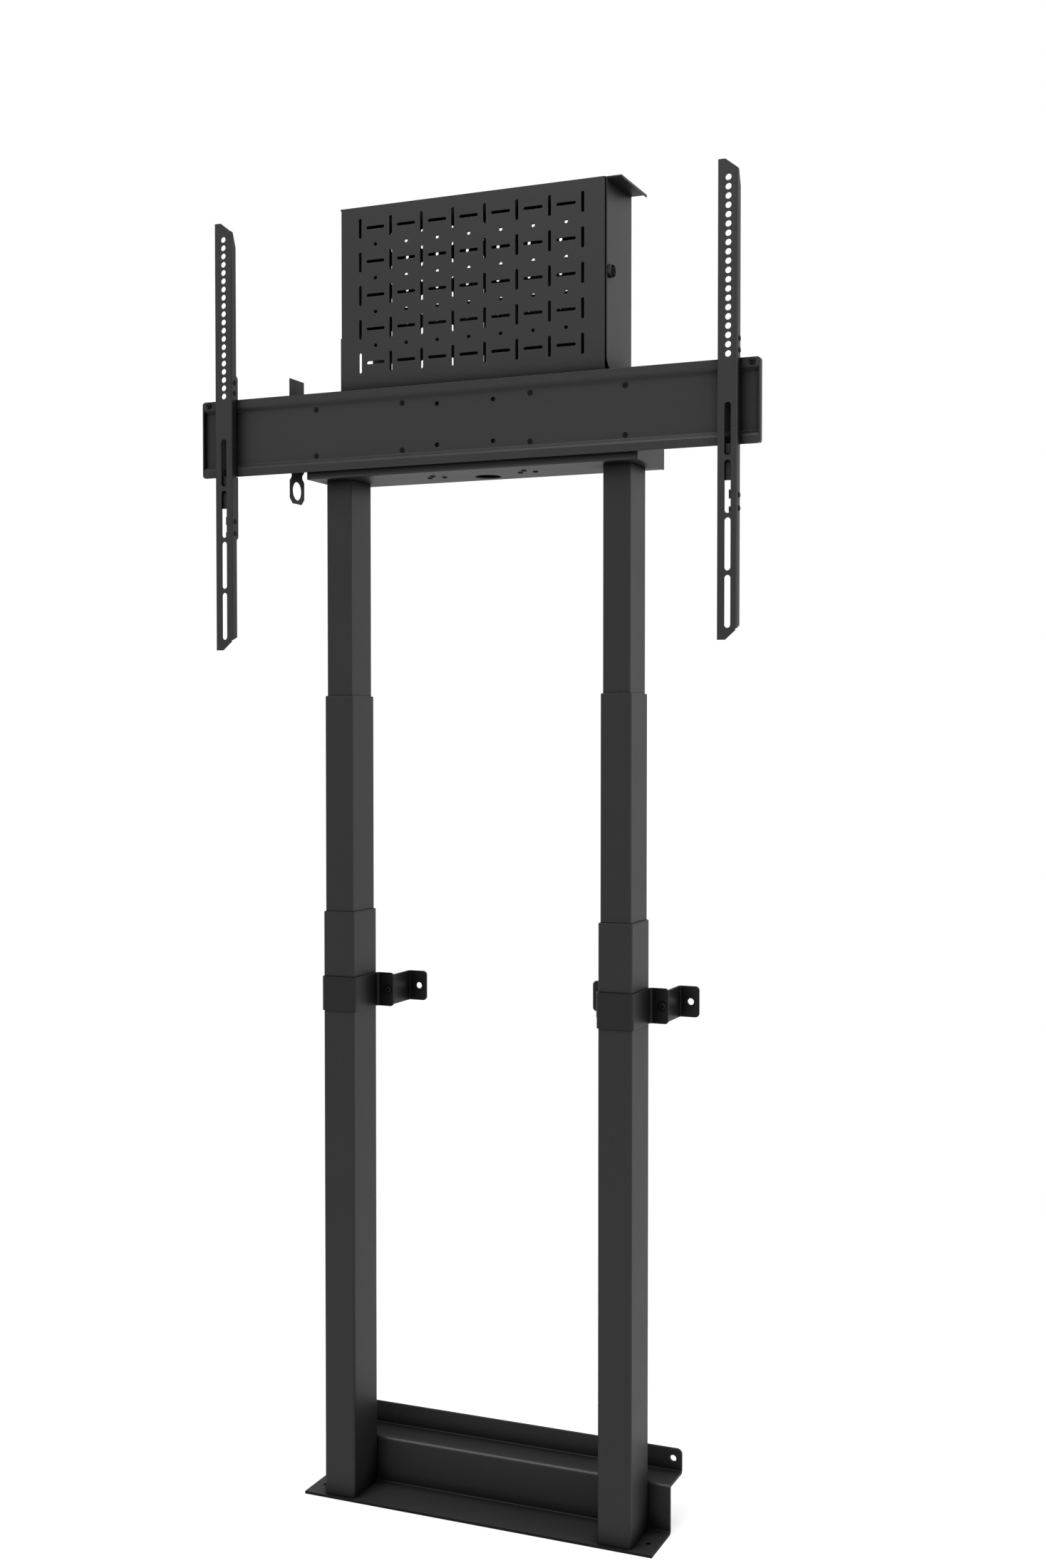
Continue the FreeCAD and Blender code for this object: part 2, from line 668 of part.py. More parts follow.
def foot_plate(side):
    """Threaded plate welded into the foot of an outer tube."""
    plate = rounded_block(*outer_inside(), COLUMN_X[side], COLUMN_Y, TUBE_FOOT, FOOT_PLATE_TOP)
    bore = END_SCREW_RADIUS + THREAD_CLEARANCE
    holes = [rod(bore, V(x, y, TUBE_FOOT), V(x, y, FOOT_PLATE_TOP)) for x, y in end_screw_places(side)]
    return cut_all(plate, holes)


def head_plate(side):
    """Threaded plate welded into the head of an inner tube."""
    low = INNER_TOP - HEAD_PLATE_THICKNESS
    plate = rounded_block(*inner_inside(), COLUMN_X[side], COLUMN_Y, low, INNER_TOP)
    bore = END_SCREW_RADIUS + THREAD_CLEARANCE
    holes = [rod(bore, V(x, y, low), V(x, y, INNER_TOP)) for x, y in end_screw_places(side)]
    return cut_all(plate, holes)


def column_foot_screws(side):
    """Four countersunk screws that come up through the floor plate."""
    screws = []
    for x, y in end_screw_places(side):
        start = V(x, y, 0)
        screws.append(
            countersunk_screw(start, V(0, 0, 1), END_SCREW_HEAD_RADIUS, END_SCREW_RADIUS, FOOT_PLATE_TOP)
        )
    return screws


def foot_screws():
    """Eight countersunk screws under the two columns."""
    return Part.makeCompound(column_foot_screws("left") + column_foot_screws("right"))


def head_screws():
    """Eight screws that hold the crossbeam on the column heads."""
    places = end_screw_places("left") + end_screw_places("right")
    floor = BEAM_FOOT + BEAM_THICKNESS
    reach = BEAM_THICKNESS + END_SCREW_REACH
    screws = []
    for x, y in places:
        screws.append(
            pan_screw(
                V(x, y, floor),
                V(0, 0, -1),
                END_SCREW_HEAD_RADIUS,
                END_SCREW_HEAD_HEIGHT,
                END_SCREW_RADIUS,
                reach,
            )
        )
    return Part.makeCompound(screws)


def base_bracket():
    """Plate bent from the floor up the columns and back to the wall."""
    half = BASE_THICKNESS / 2
    riser = COLUMN_REAR + BASE_BEND + half
    shelf = BASE_RISER_HEIGHT - half
    path = [
        (COLUMN_FRONT - BASE_FRONT_REACH, half),
        (riser, half),
        (riser, shelf),
        (WALL - half, shelf),
        (WALL - half, BASE_FLANGE_TOP),
    ]
    left = -BASE_WIDTH / 2
    sheet = bent_sheet(path, BASE_THICKNESS, BASE_BEND, lambda u, v: V(left, u, v), V(BASE_WIDTH, 0, 0))
    for x in (left, -left):
        front = V(x, WALL - BASE_THICKNESS, BASE_FLANGE_TOP)
        back = V(x, WALL, BASE_FLANGE_TOP)
        sheet = round_corners(sheet, BASE_CORNER, lambda edge: edge_between(edge, front, back))
    tools = []
    for way in (-1, 1):
        x = way * BASE_EAR_HOLE_SPACING / 2
        z = BASE_EAR_HOLE_HEIGHT
        tools.append(rod(FIXING_HOLE_RADIUS, V(x, WALL - BASE_THICKNESS, z), V(x, WALL, z)))
        x = way * BASE_FLOOR_HOLE_SPACING / 2
        y = COLUMN_FRONT - BASE_FRONT_REACH + BASE_FLOOR_HOLE_FROM_FRONT
        tools.append(rod(FLOOR_HOLE_RADIUS, V(x, y, 0), V(x, y, BASE_THICKNESS)))
    for side in COLUMN_X:
        tools += column_foot_screws(side)
    return cut_all(sheet, tools)


def clamp_strap(side):
    """Strap bent round the front of an outer tube, with a flange each side."""
    x = COLUMN_X[side]
    half = STRAP_THICKNESS / 2
    wing = OUTER_WIDTH / 2 + half
    front = COLUMN_FRONT - half
    rear = COLUMN_REAR - half
    low = STRAP_CENTRE_HEIGHT - STRAP_HEIGHT / 2
    high = low + STRAP_HEIGHT
    path = [
        (x - STRAP_FLANGE_END, rear),
        (x - wing, rear),
        (x - wing, front),
        (x + wing, front),
        (x + wing, rear),
        (x + STRAP_FLANGE_END, rear),
    ]
    sheet = bent_sheet(path, STRAP_THICKNESS, OUTER_CORNER, lambda u, v: V(u, v, low), V(0, 0, STRAP_HEIGHT))
    for end in (x - STRAP_FLANGE_END, x + STRAP_FLANGE_END):
        for z in (low, high):
            a = V(end, rear - half, z)
            b = V(end, rear + half, z)
            sheet = round_corners(sheet, STRAP_CORNER, lambda edge: edge_between(edge, a, b))
    return cut_all(sheet, strap_screw_holes(side, rear - half, rear + half))


def strap_screw_holes(side, front, rear):
    """Cutters for the two screws beside a column."""
    bore = STRAP_SCREW_RADIUS + THREAD_CLEARANCE
    holes = []
    for way in (-1, 1):
        x = COLUMN_X[side] + way * STRAP_SCREW_OFFSET
        z = STRAP_CENTRE_HEIGHT
        holes.append(rod(bore, V(x, front, z), V(x, rear, z)))
    return holes


def wall_bracket(side):
    """Hat-shaped bracket behind a column, with an ear on the wall each side."""
    x = COLUMN_X[side]
    half = BRACKET_THICKNESS / 2
    leg = BRACKET_HALF_WIDTH - half
    front = COLUMN_REAR + half
    low = STRAP_CENTRE_HEIGHT - BRACKET_HEIGHT / 2
    high = low + BRACKET_HEIGHT
    path = [
        (x - BRACKET_EAR_END, WALL - half),
        (x - leg, WALL - half),
        (x - leg, front),
        (x + leg, front),
        (x + leg, WALL - half),
        (x + BRACKET_EAR_END, WALL - half),
    ]
    up = V(0, 0, BRACKET_HEIGHT)
    sheet = bent_sheet(path, BRACKET_THICKNESS, BRACKET_BEND, lambda u, v: V(u, v, low), up)
    holes = strap_screw_holes(side, COLUMN_REAR, COLUMN_REAR + BRACKET_THICKNESS)
    for way in (-1, 1):
        end = x + way * BRACKET_EAR_END
        for z in (low, high):
            a = V(end, WALL - BRACKET_THICKNESS, z)
            b = V(end, WALL, z)
            sheet = round_corners(sheet, BRACKET_CORNER, lambda edge: edge_between(edge, a, b))
        hole = x + way * BRACKET_HOLE_OFFSET
        z = STRAP_CENTRE_HEIGHT
        holes.append(rod(FIXING_HOLE_RADIUS, V(hole, WALL - BRACKET_THICKNESS, z), V(hole, WALL, z)))
    return cut_all(sheet, holes)


def strap_screws():
    """Four screws that join the straps to the wall brackets."""
    face = COLUMN_REAR - STRAP_THICKNESS
    reach = STRAP_THICKNESS + BRACKET_THICKNESS + STRAP_SCREW_REACH
    screws = []
    for side in COLUMN_X:
        for way in (-1, 1):
            x = COLUMN_X[side] + way * STRAP_SCREW_OFFSET
            screws.append(
                pan_screw(
                    V(x, face, STRAP_CENTRE_HEIGHT),
                    V(0, 1, 0),
                    STRAP_SCREW_HEAD_RADIUS,
                    STRAP_SCREW_HEAD_HEIGHT,
                    STRAP_SCREW_RADIUS,
                    reach,
                )
            )
    return Part.makeCompound(screws)


def case_screw_places(way):
    """Three screw places under one electronics case."""
    return [
        (way * (CASE_FROM_CENTRE + x), BEAM_FRONT + y)
        for x, y in zip(CASE_SCREW_FROM_END, CASE_SCREW_FROM_FRONT)
    ]


def bar_screw_places():
    """Eight screw places on the bar, as x and height above its middle."""
    return [
        (way * x, rise * BAR_SCREW_Z)
        for way in (-1, 1)
        for x in BAR_SCREW_X
        for rise in (-1, 1)
    ]


def crossbeam():
    """Channel with inward lips that lies on both column heads."""
    half = BEAM_THICKNESS / 2
    low = BEAM_FOOT + half
    high = BEAM_TOP - COVER_THICKNESS - half
    front = BEAM_FRONT + half
    rear = BEAM_REAR - half
    path = [
        (front + BEAM_LIP, high),
        (front, high),
        (front, low),
        (rear, low),
        (rear, high),
        (rear - BEAM_LIP, high),
    ]
    length = BEAM_LENGTH - 2 * CAP_THICKNESS
    left = -length / 2
    sheet = bent_sheet(path, BEAM_THICKNESS, BEAM_BEND, lambda u, v: V(left, u, v), V(length, 0, 0))
    floor = BEAM_FOOT + BEAM_THICKNESS
    y = BEAM_REAR - CABLE_HOLE_FROM_REAR
    tools = [rod(CABLE_HOLE_RADIUS, V(0, y, BEAM_FOOT), V(0, y, floor))]
    bore = END_SCREW_RADIUS + THREAD_CLEARANCE
    for side in COLUMN_X:
        for x, y in end_screw_places(side):
            tools.append(rod(bore, V(x, y, BEAM_FOOT), V(x, y, floor)))
    bore = CASE_SCREW_RADIUS + THREAD_CLEARANCE
    for way in (-1, 1):
        for x, y in case_screw_places(way):
            tools.append(rod(bore, V(x, y, BEAM_FOOT), V(x, y, floor)))
    bore = BAR_SCREW_RADIUS + THREAD_CLEARANCE
    for x, rise in bar_screw_places():
        z = SCREEN_CENTRE_HEIGHT + rise
        tools.append(rod(bore, V(x, BEAM_FRONT, z), V(x, BEAM_FRONT + BEAM_THICKNESS, z)))
    return cut_all(sheet, tools + top_screw_holes())


def beam_cover():
    """Lid on the crossbeam's lips, held by the screws of the holder and its rail."""
    half = BEAM_LENGTH / 2 - CAP_THICKNESS
    lid = block(-half, half, BEAM_FRONT, BEAM_REAR, BEAM_TOP - COVER_THICKNESS, BEAM_TOP)
    return cut_all(lid, top_screw_holes())


def beam_cap(way):
    """Pan-shaped cap that closes one end of the crossbeam."""
    end = way * BEAM_LENGTH / 2
    inner = end - way * CAP_THICKNESS
    plate = block(min(end, inner), max(end, inner), BEAM_FRONT, BEAM_REAR, BEAM_FOOT, BEAM_TOP)
    skirt = inner - way * CAP_FLANGE
    margin = BEAM_THICKNESS + BEAM_BEND
    front = BEAM_FRONT + margin
    rear = BEAM_REAR - margin
    low = BEAM_FOOT + BEAM_THICKNESS
    tab = block(
        min(inner, skirt),
        max(inner, skirt),
        front,
        rear,
        low,
        low + BEAM_THICKNESS,
    )
    return fused([plate, tab])


def electronics_case(way):
    """Case with rounded upright corners on the floor of the crossbeam."""
    middle = way * (CASE_FROM_CENTRE + CASE_LENGTH / 2)
    floor = BEAM_FOOT + BEAM_THICKNESS
    case = rounded_block(CASE_LENGTH, CASE_DEPTH, CASE_CORNER, middle, COLUMN_Y, floor, floor + CASE_HEIGHT)
    reach = CASE_SCREW_REACH - BEAM_THICKNESS + CASE_SCREW_RADIUS
    bore = CASE_SCREW_RADIUS + THREAD_CLEARANCE
    holes = [rod(bore, V(x, y, floor), V(x, y, floor + reach)) for x, y in case_screw_places(way)]
    return cut_all(case, holes)


def case_screws():
    """Six small screws under the crossbeam."""
    screws = []
    for way in (-1, 1):
        for x, y in case_screw_places(way):
            screws.append(
                pan_screw(
                    V(x, y, BEAM_FOOT),
                    V(0, 0, 1),
                    CASE_SCREW_HEAD_RADIUS,
                    CASE_SCREW_HEAD_HEIGHT,
                    CASE_SCREW_RADIUS,
                    CASE_SCREW_REACH,
                )
            )
    return Part.makeCompound(screws)


def stop_places():
    """Two stop screws near the ends of the bar's upper lip."""
    x = BAR_LENGTH / 2 - STOP_FROM_END
    z = SCREEN_CENTRE_HEIGHT + BAR_HEIGHT / 2 - STOP_FROM_EDGE
    return [(-x, z), (x, z)]


def screen_bar():
    """Long bar with a recessed web and lips stepped forward top and bottom."""
    half = BAR_THICKNESS / 2
    web = WEB_FRONT + half
    lip = BAR_FRONT + half
    edge = BAR_HEIGHT / 2
    knee = edge - BAR_LIP_HEIGHT
    z0 = SCREEN_CENTRE_HEIGHT
    path = [
        (lip, z0 - edge),
        (lip, z0 - knee),
        (web, z0 - knee + BAR_RECESS),
        (web, z0 + knee - BAR_RECESS),
        (lip, z0 + knee),
        (lip, z0 + edge),
    ]
    left = -BAR_LENGTH / 2
    sheet = bent_sheet(path, BAR_THICKNESS, BAR_BEND, lambda u, v: V(left, u, v), V(BAR_LENGTH, 0, 0))
    sheet = fused([sheet] + bar_ends())
    tools = [bar_screws()]
    for x in (-BAR_HOLE_X, BAR_HOLE_X):
        for rise in (-BAR_HOLE_Z, BAR_HOLE_Z):
            tools.append(rod(BAR_HOLE_RADIUS, V(x, WEB_FRONT, z0 + rise), V(x, BEAM_FRONT, z0 + rise)))
    for x, z in stop_places():
        a = V(x, BAR_FRONT, z)
        b = V(x, BAR_FRONT + BAR_THICKNESS, z)
        tools.append(rod(STOP_SHANK_RADIUS + THREAD_CLEARANCE, a, b))
    return cut_all(sheet, tools + bar_corner_cuts())


def bar_ends():
    """Flanges welded across both ends of the bar."""
    ends = []
    half = BAR_LENGTH / 2
    low = SCREEN_CENTRE_HEIGHT - BAR_HEIGHT / 2
    for x in (-half, half - BAR_END_THICKNESS):
        ends.append(block(x, x + BAR_END_THICKNESS, BAR_FRONT, BEAM_FRONT, low, low + BAR_HEIGHT))
    return ends


def bar_corner_cuts():
    """Cutters that round the four corners of the bar."""
    cuts = []
    for way in (-1, 1):
        x = way * BAR_LENGTH / 2
        middle_x = x - way * BAR_CORNER
        for rise in (-1, 1):
            z = SCREEN_CENTRE_HEIGHT + rise * BAR_HEIGHT / 2
            middle_z = z - rise * BAR_CORNER
            corner = block(
                min(x, middle_x),
                max(x, middle_x),
                BAR_FRONT,
                BEAM_FRONT,
                min(z, middle_z),
                max(z, middle_z),
            )
            start = V(middle_x, BAR_FRONT, middle_z)
            cuts.append(corner.cut(rod(BAR_CORNER, start, V(middle_x, BEAM_FRONT, middle_z))))
    return cuts


def bar_screws():
    """Eight countersunk screws through the bar into the crossbeam."""
    reach = BAR_THICKNESS + BEAM_THICKNESS + BAR_SCREW_REACH
    screws = []
    for x, rise in bar_screw_places():
        start = V(x, WEB_FRONT, SCREEN_CENTRE_HEIGHT + rise)
        screws.append(
            countersunk_screw(start, V(0, 1, 0), BAR_SCREW_HEAD_RADIUS, BAR_SCREW_RADIUS, reach)
        )
    return Part.makeCompound(screws)


def end_stops():
    """Two screws that keep the arms on the bar."""
    screws = []
    for x, z in stop_places():
        start = V(x, BAR_FRONT, z)
        screws.append(
            pan_screw(start, V(0, 1, 0), STOP_RADIUS, STOP_HEIGHT, STOP_SHANK_RADIUS, BAR_THICKNESS)
        )
    return Part.makeCompound(screws)


def arm_hole_x(way):
    """Where an arm's hole line lies."""
    return ARM_SHIFT + way * ARM_SPACING / 2


def arm_flange_x(way):
    """Outer face of an arm's side flange."""
    return arm_hole_x(way) - ARM_HOLE_FROM_EDGE + ARM_WIDTH


def arm_blank(way):
    """Angle section with both ends cut at a slant."""
    half = ARM_THICKNESS / 2
    left = arm_hole_x(way) - ARM_HOLE_FROM_EDGE
    right = arm_flange_x(way) - half
    face = SCREEN_FACE + half
    low = SCREEN_CENTRE_HEIGHT - ARM_LENGTH / 2
    path = [(left, face), (right, face), (right, SCREEN_FACE + ARM_DEPTH)]
    return bent_sheet(path, ARM_THICKNESS, ARM_BEND, lambda u, v: V(u, v, low), V(0, 0, ARM_LENGTH))


def arm_end_cuts(way):
    """Cutters for the slanted ends of an arm's face and flange."""
    left = arm_hole_x(way) - ARM_HOLE_FROM_EDGE
    right = arm_flange_x(way)
    inner = right - ARM_THICKNESS
    rear = SCREEN_FACE + ARM_DEPTH
    top = SCREEN_CENTRE_HEIGHT + ARM_LENGTH / 2
    foot = SCREEN_CENTRE_HEIGHT - ARM_LENGTH / 2
    corner = top - ARM_TOP_DROP
    slim = rear - ARM_TAPER_DEPTH
    top_side = [(rear, top - ARM_TAPER_LENGTH), (slim, corner), (slim, top), (rear, top)]
    heel = foot + ARM_FOOT_RISE
    foot_side = [(SCREEN_FACE, heel), (rear, foot + ARM_FOOT_REAR_RISE), (rear, foot), (SCREEN_FACE, foot)]
    return [
        slant_cut(left + ARM_TOP_FLAT, right, top, corner),
        slant_cut(left + ARM_FOOT_FLAT, right, foot, heel),
        flat_plate(top_side, inner, ARM_THICKNESS),
        flat_plate(foot_side, inner, ARM_THICKNESS),
    ]


def slant_cut(start, right, end, corner):
    """Cutter for the slanted part of an arm's end, seen from the front."""
    points = [V(start, SCREEN_FACE, end), V(right, SCREEN_FACE, corner), V(right, SCREEN_FACE, end)]
    return Part.Face(Part.makePolygon(points + points[:1])).extrude(V(0, ARM_DEPTH, 0))


def screen_arm(way):
    """Upright arm with a row of holes above and four long slots below."""
    x = arm_hole_x(way)
    back = SCREEN_FACE + ARM_THICKNESS
    tools = arm_end_cuts(way)
    for i in range(ARM_HOLE_COUNT):
        z = SCREEN_CENTRE_HEIGHT + ARM_TOP_HOLE - i * ARM_HOLE_PITCH
        tools.append(rod(ARM_HOLE_RADIUS, V(x, SCREEN_FACE, z), V(x, back, z)))
    for i in range(ARM_SLOT_COUNT):
        z = SCREEN_CENTRE_HEIGHT + ARM_FIRST_SLOT - i * ARM_SLOT_PITCH
        outline = slot_outline(x, SCREEN_FACE, z, ARM_SLOT_LENGTH, ARM_SLOT_WIDTH, "z")
        tools.append(Part.Face(outline).extrude(V(0, ARM_THICKNESS, 0)))
    tools += rivet_holes(way)
    return cut_all(arm_blank(way), tools)


def rivet_holes(way):
    """Cutters for the rivets through an arm's flange and its hook."""
    right = arm_flange_x(way)
    left = right - ARM_THICKNESS - HOOK_THICKNESS
    y = SCREEN_FACE + RIVET_FROM_FRONT
    bore = RIVET_RADIUS + THREAD_CLEARANCE
    heights = [SCREEN_CENTRE_HEIGHT + rise for rise in RIVET_Z]
    return [rod(bore, V(left, y, z), V(right, y, z)) for z in heights]


def lock_screw_y():
    """Depth at which the lock's screws sit."""
    return SCREEN_FACE + LOCK_SCREW_FROM_FRONT


def hook_bracket(way):
    """Side plate that hangs over the bar's upper lip."""
    right = arm_flange_x(way) - ARM_THICKNESS
    left = right - HOOK_THICKNESS
    z0 = SCREEN_CENTRE_HEIGHT
    front = SCREEN_FACE + HOOK_FRONT_GAP
    rest = z0 + BAR_HEIGHT / 2
    under = z0 - BAR_HEIGHT / 2 - HOOK_FIT
    lip_face = BAR_FRONT - HOOK_FIT
    lip_back = BAR_FRONT + BAR_THICKNESS + HOOK_FIT
    top = z0 + HOOK_TOP
    bottom = z0 + HOOK_BOTTOM
    outline = [
        (front, bottom + HOOK_CHAMFER),
        (front + HOOK_CHAMFER, bottom),
        (HOOK_REAR - HOOK_CHAMFER, bottom),
        (HOOK_REAR, bottom + HOOK_CHAMFER),
        (HOOK_REAR, under),
        (lip_face, under),
        (lip_face, rest),
        (lip_back, rest),
        (lip_back, rest - HOOK_TIP_DROP),
        (HOOK_REAR, rest - HOOK_TIP_DROP),
        (HOOK_REAR, top - HOOK_CHAMFER),
        (HOOK_REAR - HOOK_CHAMFER, top),
        (front + HOOK_CHAMFER, top),
        (front, top - HOOK_CHAMFER),
    ]
    plate = flat_plate(outline, left, HOOK_THICKNESS)
    plate = fused([plate, hook_tab(left)])
    bore = LOCK_SCREW_RADIUS + THREAD_CLEARANCE
    y = lock_screw_y()
    tools = rivet_holes(way)
    for rise in LOCK_SCREW_Z:
        tools.append(rod(bore, V(left, y, z0 + rise), V(right, y, z0 + rise)))
    return cut_all(plate, tools)


def hook_tab(right):
    """Tab turned in along the foot of a hook plate's front edge, with a notch."""
    front = SCREEN_FACE + HOOK_FRONT_GAP
    back = front + HOOK_THICKNESS
    z0 = SCREEN_CENTRE_HEIGHT
    left = right - HOOK_TAB_WIDTH
    tab = block(left, right, front, back, z0 + HOOK_TAB_LOW, z0 + HOOK_TAB_HIGH)
    step = left + HOOK_NOTCH_DEPTH
    notch = block(left, step, front, back, z0 + HOOK_NOTCH_LOW, z0 + HOOK_NOTCH_HIGH)
    return tab.cut(notch)


def lock_plate(way):
    """Sliding angle catch that reaches up behind the bar's lower lip."""
    right = arm_flange_x(way) - ARM_THICKNESS - HOOK_THICKNESS
    left = right - LOCK_THICKNESS
    z0 = SCREEN_CENTRE_HEIGHT
    front = SCREEN_FACE + HOOK_FRONT_GAP
    under = z0 - BAR_HEIGHT / 2 - HOOK_FIT
    lip_back = BAR_FRONT + BAR_THICKNESS + HOOK_FIT
    tip = z0 - BAR_HEIGHT / 2 + LOCK_TIP_RISE
    bottom = z0 + LOCK_BOTTOM
    outline = [
        (front, bottom),
        (HOOK_REAR, bottom),
        (HOOK_REAR, tip),
        (lip_back, tip),
        (lip_back, under),
        (front, under),
    ]
    plate = flat_plate(outline, left, LOCK_THICKNESS)
    web = block(right - LOCK_WEB_WIDTH, left, front, front + LOCK_THICKNESS, bottom, under)
    plate = fused([plate, web])
    bore = LOCK_SCREW_RADIUS + THREAD_CLEARANCE
    y = lock_screw_y()
    tools = []
    for rise in LOCK_SCREW_Z:
        low = z0 + rise
        high = low + LOCK_TRAVEL
        tools.append(rod(bore, V(left, y, low), V(right, y, low)))
        tools.append(rod(bore, V(left, y, high), V(right, y, high)))
        tools.append(block(left, right, y - bore, y + bore, low, high))
    return cut_all(plate, tools)


def arm_fasteners(way):
    """Rivets of an arm's hook and the two screws its catch slides on."""
    right = arm_flange_x(way)
    hook_left = right - ARM_THICKNESS - HOOK_THICKNESS
    y = SCREEN_FACE + RIVET_FROM_FRONT
    pieces = []
    for rise in RIVET_Z:
        z = SCREEN_CENTRE_HEIGHT + rise
        heads = [
            rod(RIVET_HEAD_RADIUS, V(right, y, z), V(right + RIVET_HEAD_HEIGHT, y, z)),
            rod(RIVET_HEAD_RADIUS, V(hook_left - RIVET_HEAD_HEIGHT, y, z), V(hook_left, y, z)),
        ]
        shank = rod(RIVET_RADIUS, V(hook_left, y, z), V(right, y, z))
        pieces.append(fused([shank] + heads))
    y = lock_screw_y()
    for rise in LOCK_SCREW_Z:
        start = V(hook_left - LOCK_THICKNESS - THREAD_CLEARANCE, y, SCREEN_CENTRE_HEIGHT + rise)
        reach = LOCK_THICKNESS + THREAD_CLEARANCE + HOOK_THICKNESS
        pieces.append(
            pan_screw(
                start,
                V(1, 0, 0),
                LOCK_SCREW_HEAD_RADIUS,
                LOCK_SCREW_HEAD_HEIGHT,
                LOCK_SCREW_RADIUS,
                reach,
            )
        )
    return Part.makeCompound(pieces)


def cable_ring():
    """Upright plate with a ring at its foot, on a flange behind the bar."""
    left = RING_X - RING_THICKNESS / 2
    front = BEAM_FRONT
    rear = front + RING_PLATE_DEPTH
    slack = (RING_PLATE_DEPTH - RING_NECK_DEPTH) / 2
    shoulder = RING_NECK_HEIGHT + slack
    ring_top = RING_HOLE_HEIGHT + RING_PLATE_DEPTH / 2
    outline = [
        (front, RING_TOP),
        (front, shoulder),
        (front + slack, RING_NECK_HEIGHT),
        (front + slack, ring_top),
        (front, ring_top - slack),
        (front, RING_BOTTOM + RING_CHAMFER),
        (front + RING_CHAMFER, RING_BOTTOM),
        (rear - RING_CHAMFER, RING_BOTTOM),
        (rear, RING_BOTTOM + RING_CHAMFER),
        (rear, ring_top - slack),
        (rear - slack, ring_top),
        (rear - slack, RING_NECK_HEIGHT),
        (rear, shoulder),
        (rear, RING_TOP),
    ]
    plate = flat_plate(outline, left, RING_THICKNESS)
    middle = (front + rear) / 2
    hole = rod(
        RING_HOLE_RADIUS,
        V(left, middle, RING_HOLE_HEIGHT),
        V(left + RING_THICKNESS, middle, RING_HOLE_HEIGHT),
    )
    low = SCREEN_CENTRE_HEIGHT - RING_FLANGE_HEIGHT / 2
    half = RING_THICKNESS / 2
    path = [
        (RING_X, front + RING_NECK_DEPTH),
        (RING_X, front + half),
        (RING_X + RING_FLANGE_WIDTH, front + half),
    ]
    up = V(0, 0, RING_FLANGE_HEIGHT)
    flange = bent_sheet(path, RING_THICKNESS, RING_BEND, lambda u, v: V(u, v, low), up)
    square = block(left - half, RING_X + half, front, front + RING_NECK_DEPTH, low, low + RING_FLANGE_HEIGHT)
    return fused([plate.cut(hole).cut(square), flange])


def perforation(x0, top, y):
    """Outlines of the upright slots and the dots of the pattern."""
    columns = [x0 + (i - (SLOT_COLUMNS - 1) / 2) * COLUMN_PITCH for i in range(SLOT_COLUMNS)]
    rows = [top - FIRST_ROW_FROM_TOP - i * ROW_PITCH for i in range(SLOT_ROWS)]
    wires = []
    for z in rows:
        for x in columns:
            wires.append(slot_outline(x, y, z, SLOT_LENGTH, SLOT_WIDTH, "z"))
    for z in rows[:-1]:
        for x in columns[:-1]:
            centre = V(x + COLUMN_PITCH / 2, y, z - ROW_PITCH / 2)
            wires.append(Part.Wire(Part.makeCircle(DOT_RADIUS, centre, V(0, 1, 0))))
    return wires


def cross_slots(x0, top, y):
    """Outlines of the level slots between the upright ones."""
    wires = []
    for i in range(SLOT_ROWS):
        z = top - FIRST_ROW_FROM_TOP - i * ROW_PITCH
        for k in range(SLOT_COLUMNS - 1):
            x = x0 + (k + 1 - SLOT_COLUMNS / 2) * COLUMN_PITCH
            wires.append(slot_outline(x, y, z, SLOT_LENGTH, SLOT_WIDTH, "x"))
    return wires


def foot_screw_places():
    """Screw places along the holder's foot."""
    y = HOLDER_FRONT + HOLDER_FOOT_FRONT
    return [(x, y) for x in FOOT_SCREW_X]


def rail_screw_places():
    """Screw places along the rail's foot."""
    y = RAIL_FRONT - RAIL_FOOT / 2
    return [(x, y) for x in RAIL_SCREW_X]


def top_screw_holes():
    """Cutters for all the screws on top of the crossbeam."""
    bore = TOP_SCREW_RADIUS + THREAD_CLEARANCE
    low = BEAM_TOP - COVER_THICKNESS - BEAM_THICKNESS
    high = BEAM_TOP + max(SHEET, RAIL_FLOOR)
    places = foot_screw_places() + rail_screw_places()
    return [rod(bore, V(x, y, low), V(x, y, high)) for x, y in places]


def top_screws(places, start):
    """Screws from above into the crossbeam's lips."""
    screws = []
    for x, y in places:
        screws.append(
            pan_screw(
                V(x, y, start),
                V(0, 0, -1),
                TOP_SCREW_HEAD_RADIUS,
                TOP_SCREW_HEAD_HEIGHT,
                TOP_SCREW_RADIUS,
                TOP_SCREW_REACH,
            )
        )
    return Part.makeCompound(screws)


def left_cheek():
    """Cheek bent back from the left edge of the holder's front plate."""
    half = SHEET / 2
    x = half - HALF_HOLDER
    face = HOLDER_FRONT + half
    path = [(x, TRAY_REAR - SHEET - TRAY_GAP), (x, face), (x + CORNER_STRIP, face)]
    up = V(0, 0, HOLDER_TOP - SHEET - LEFT_CHEEK_BOTTOM)
    return bent_sheet(path, SHEET, HOLDER_BEND, lambda u, v: V(u, v, LEFT_CHEEK_BOTTOM), up)


def roof_clips():
    """Two clips behind the front plate, on which the tray's roof slides."""
    back = HOLDER_FRONT + SHEET
    under = HOLDER_TOP - SHEET
    clips = []
    for x in (-CLIP_X, CLIP_X):
        near = x - CLIP_WIDTH / 2
        clips.append(block(near, near + CLIP_WIDTH, back, back + CLIP_DEPTH, under - SHEET, under))
    return clips


def knob_hole(x0, x1):
    """Cutter for the lock knob's thread."""
    y = TRAY_FRONT + KNOB_FROM_FRONT
    return rod(KNOB_SHAFT_RADIUS + THREAD_CLEARANCE, V(x0, y, KNOB_HEIGHT), V(x1, y, KNOB_HEIGHT))


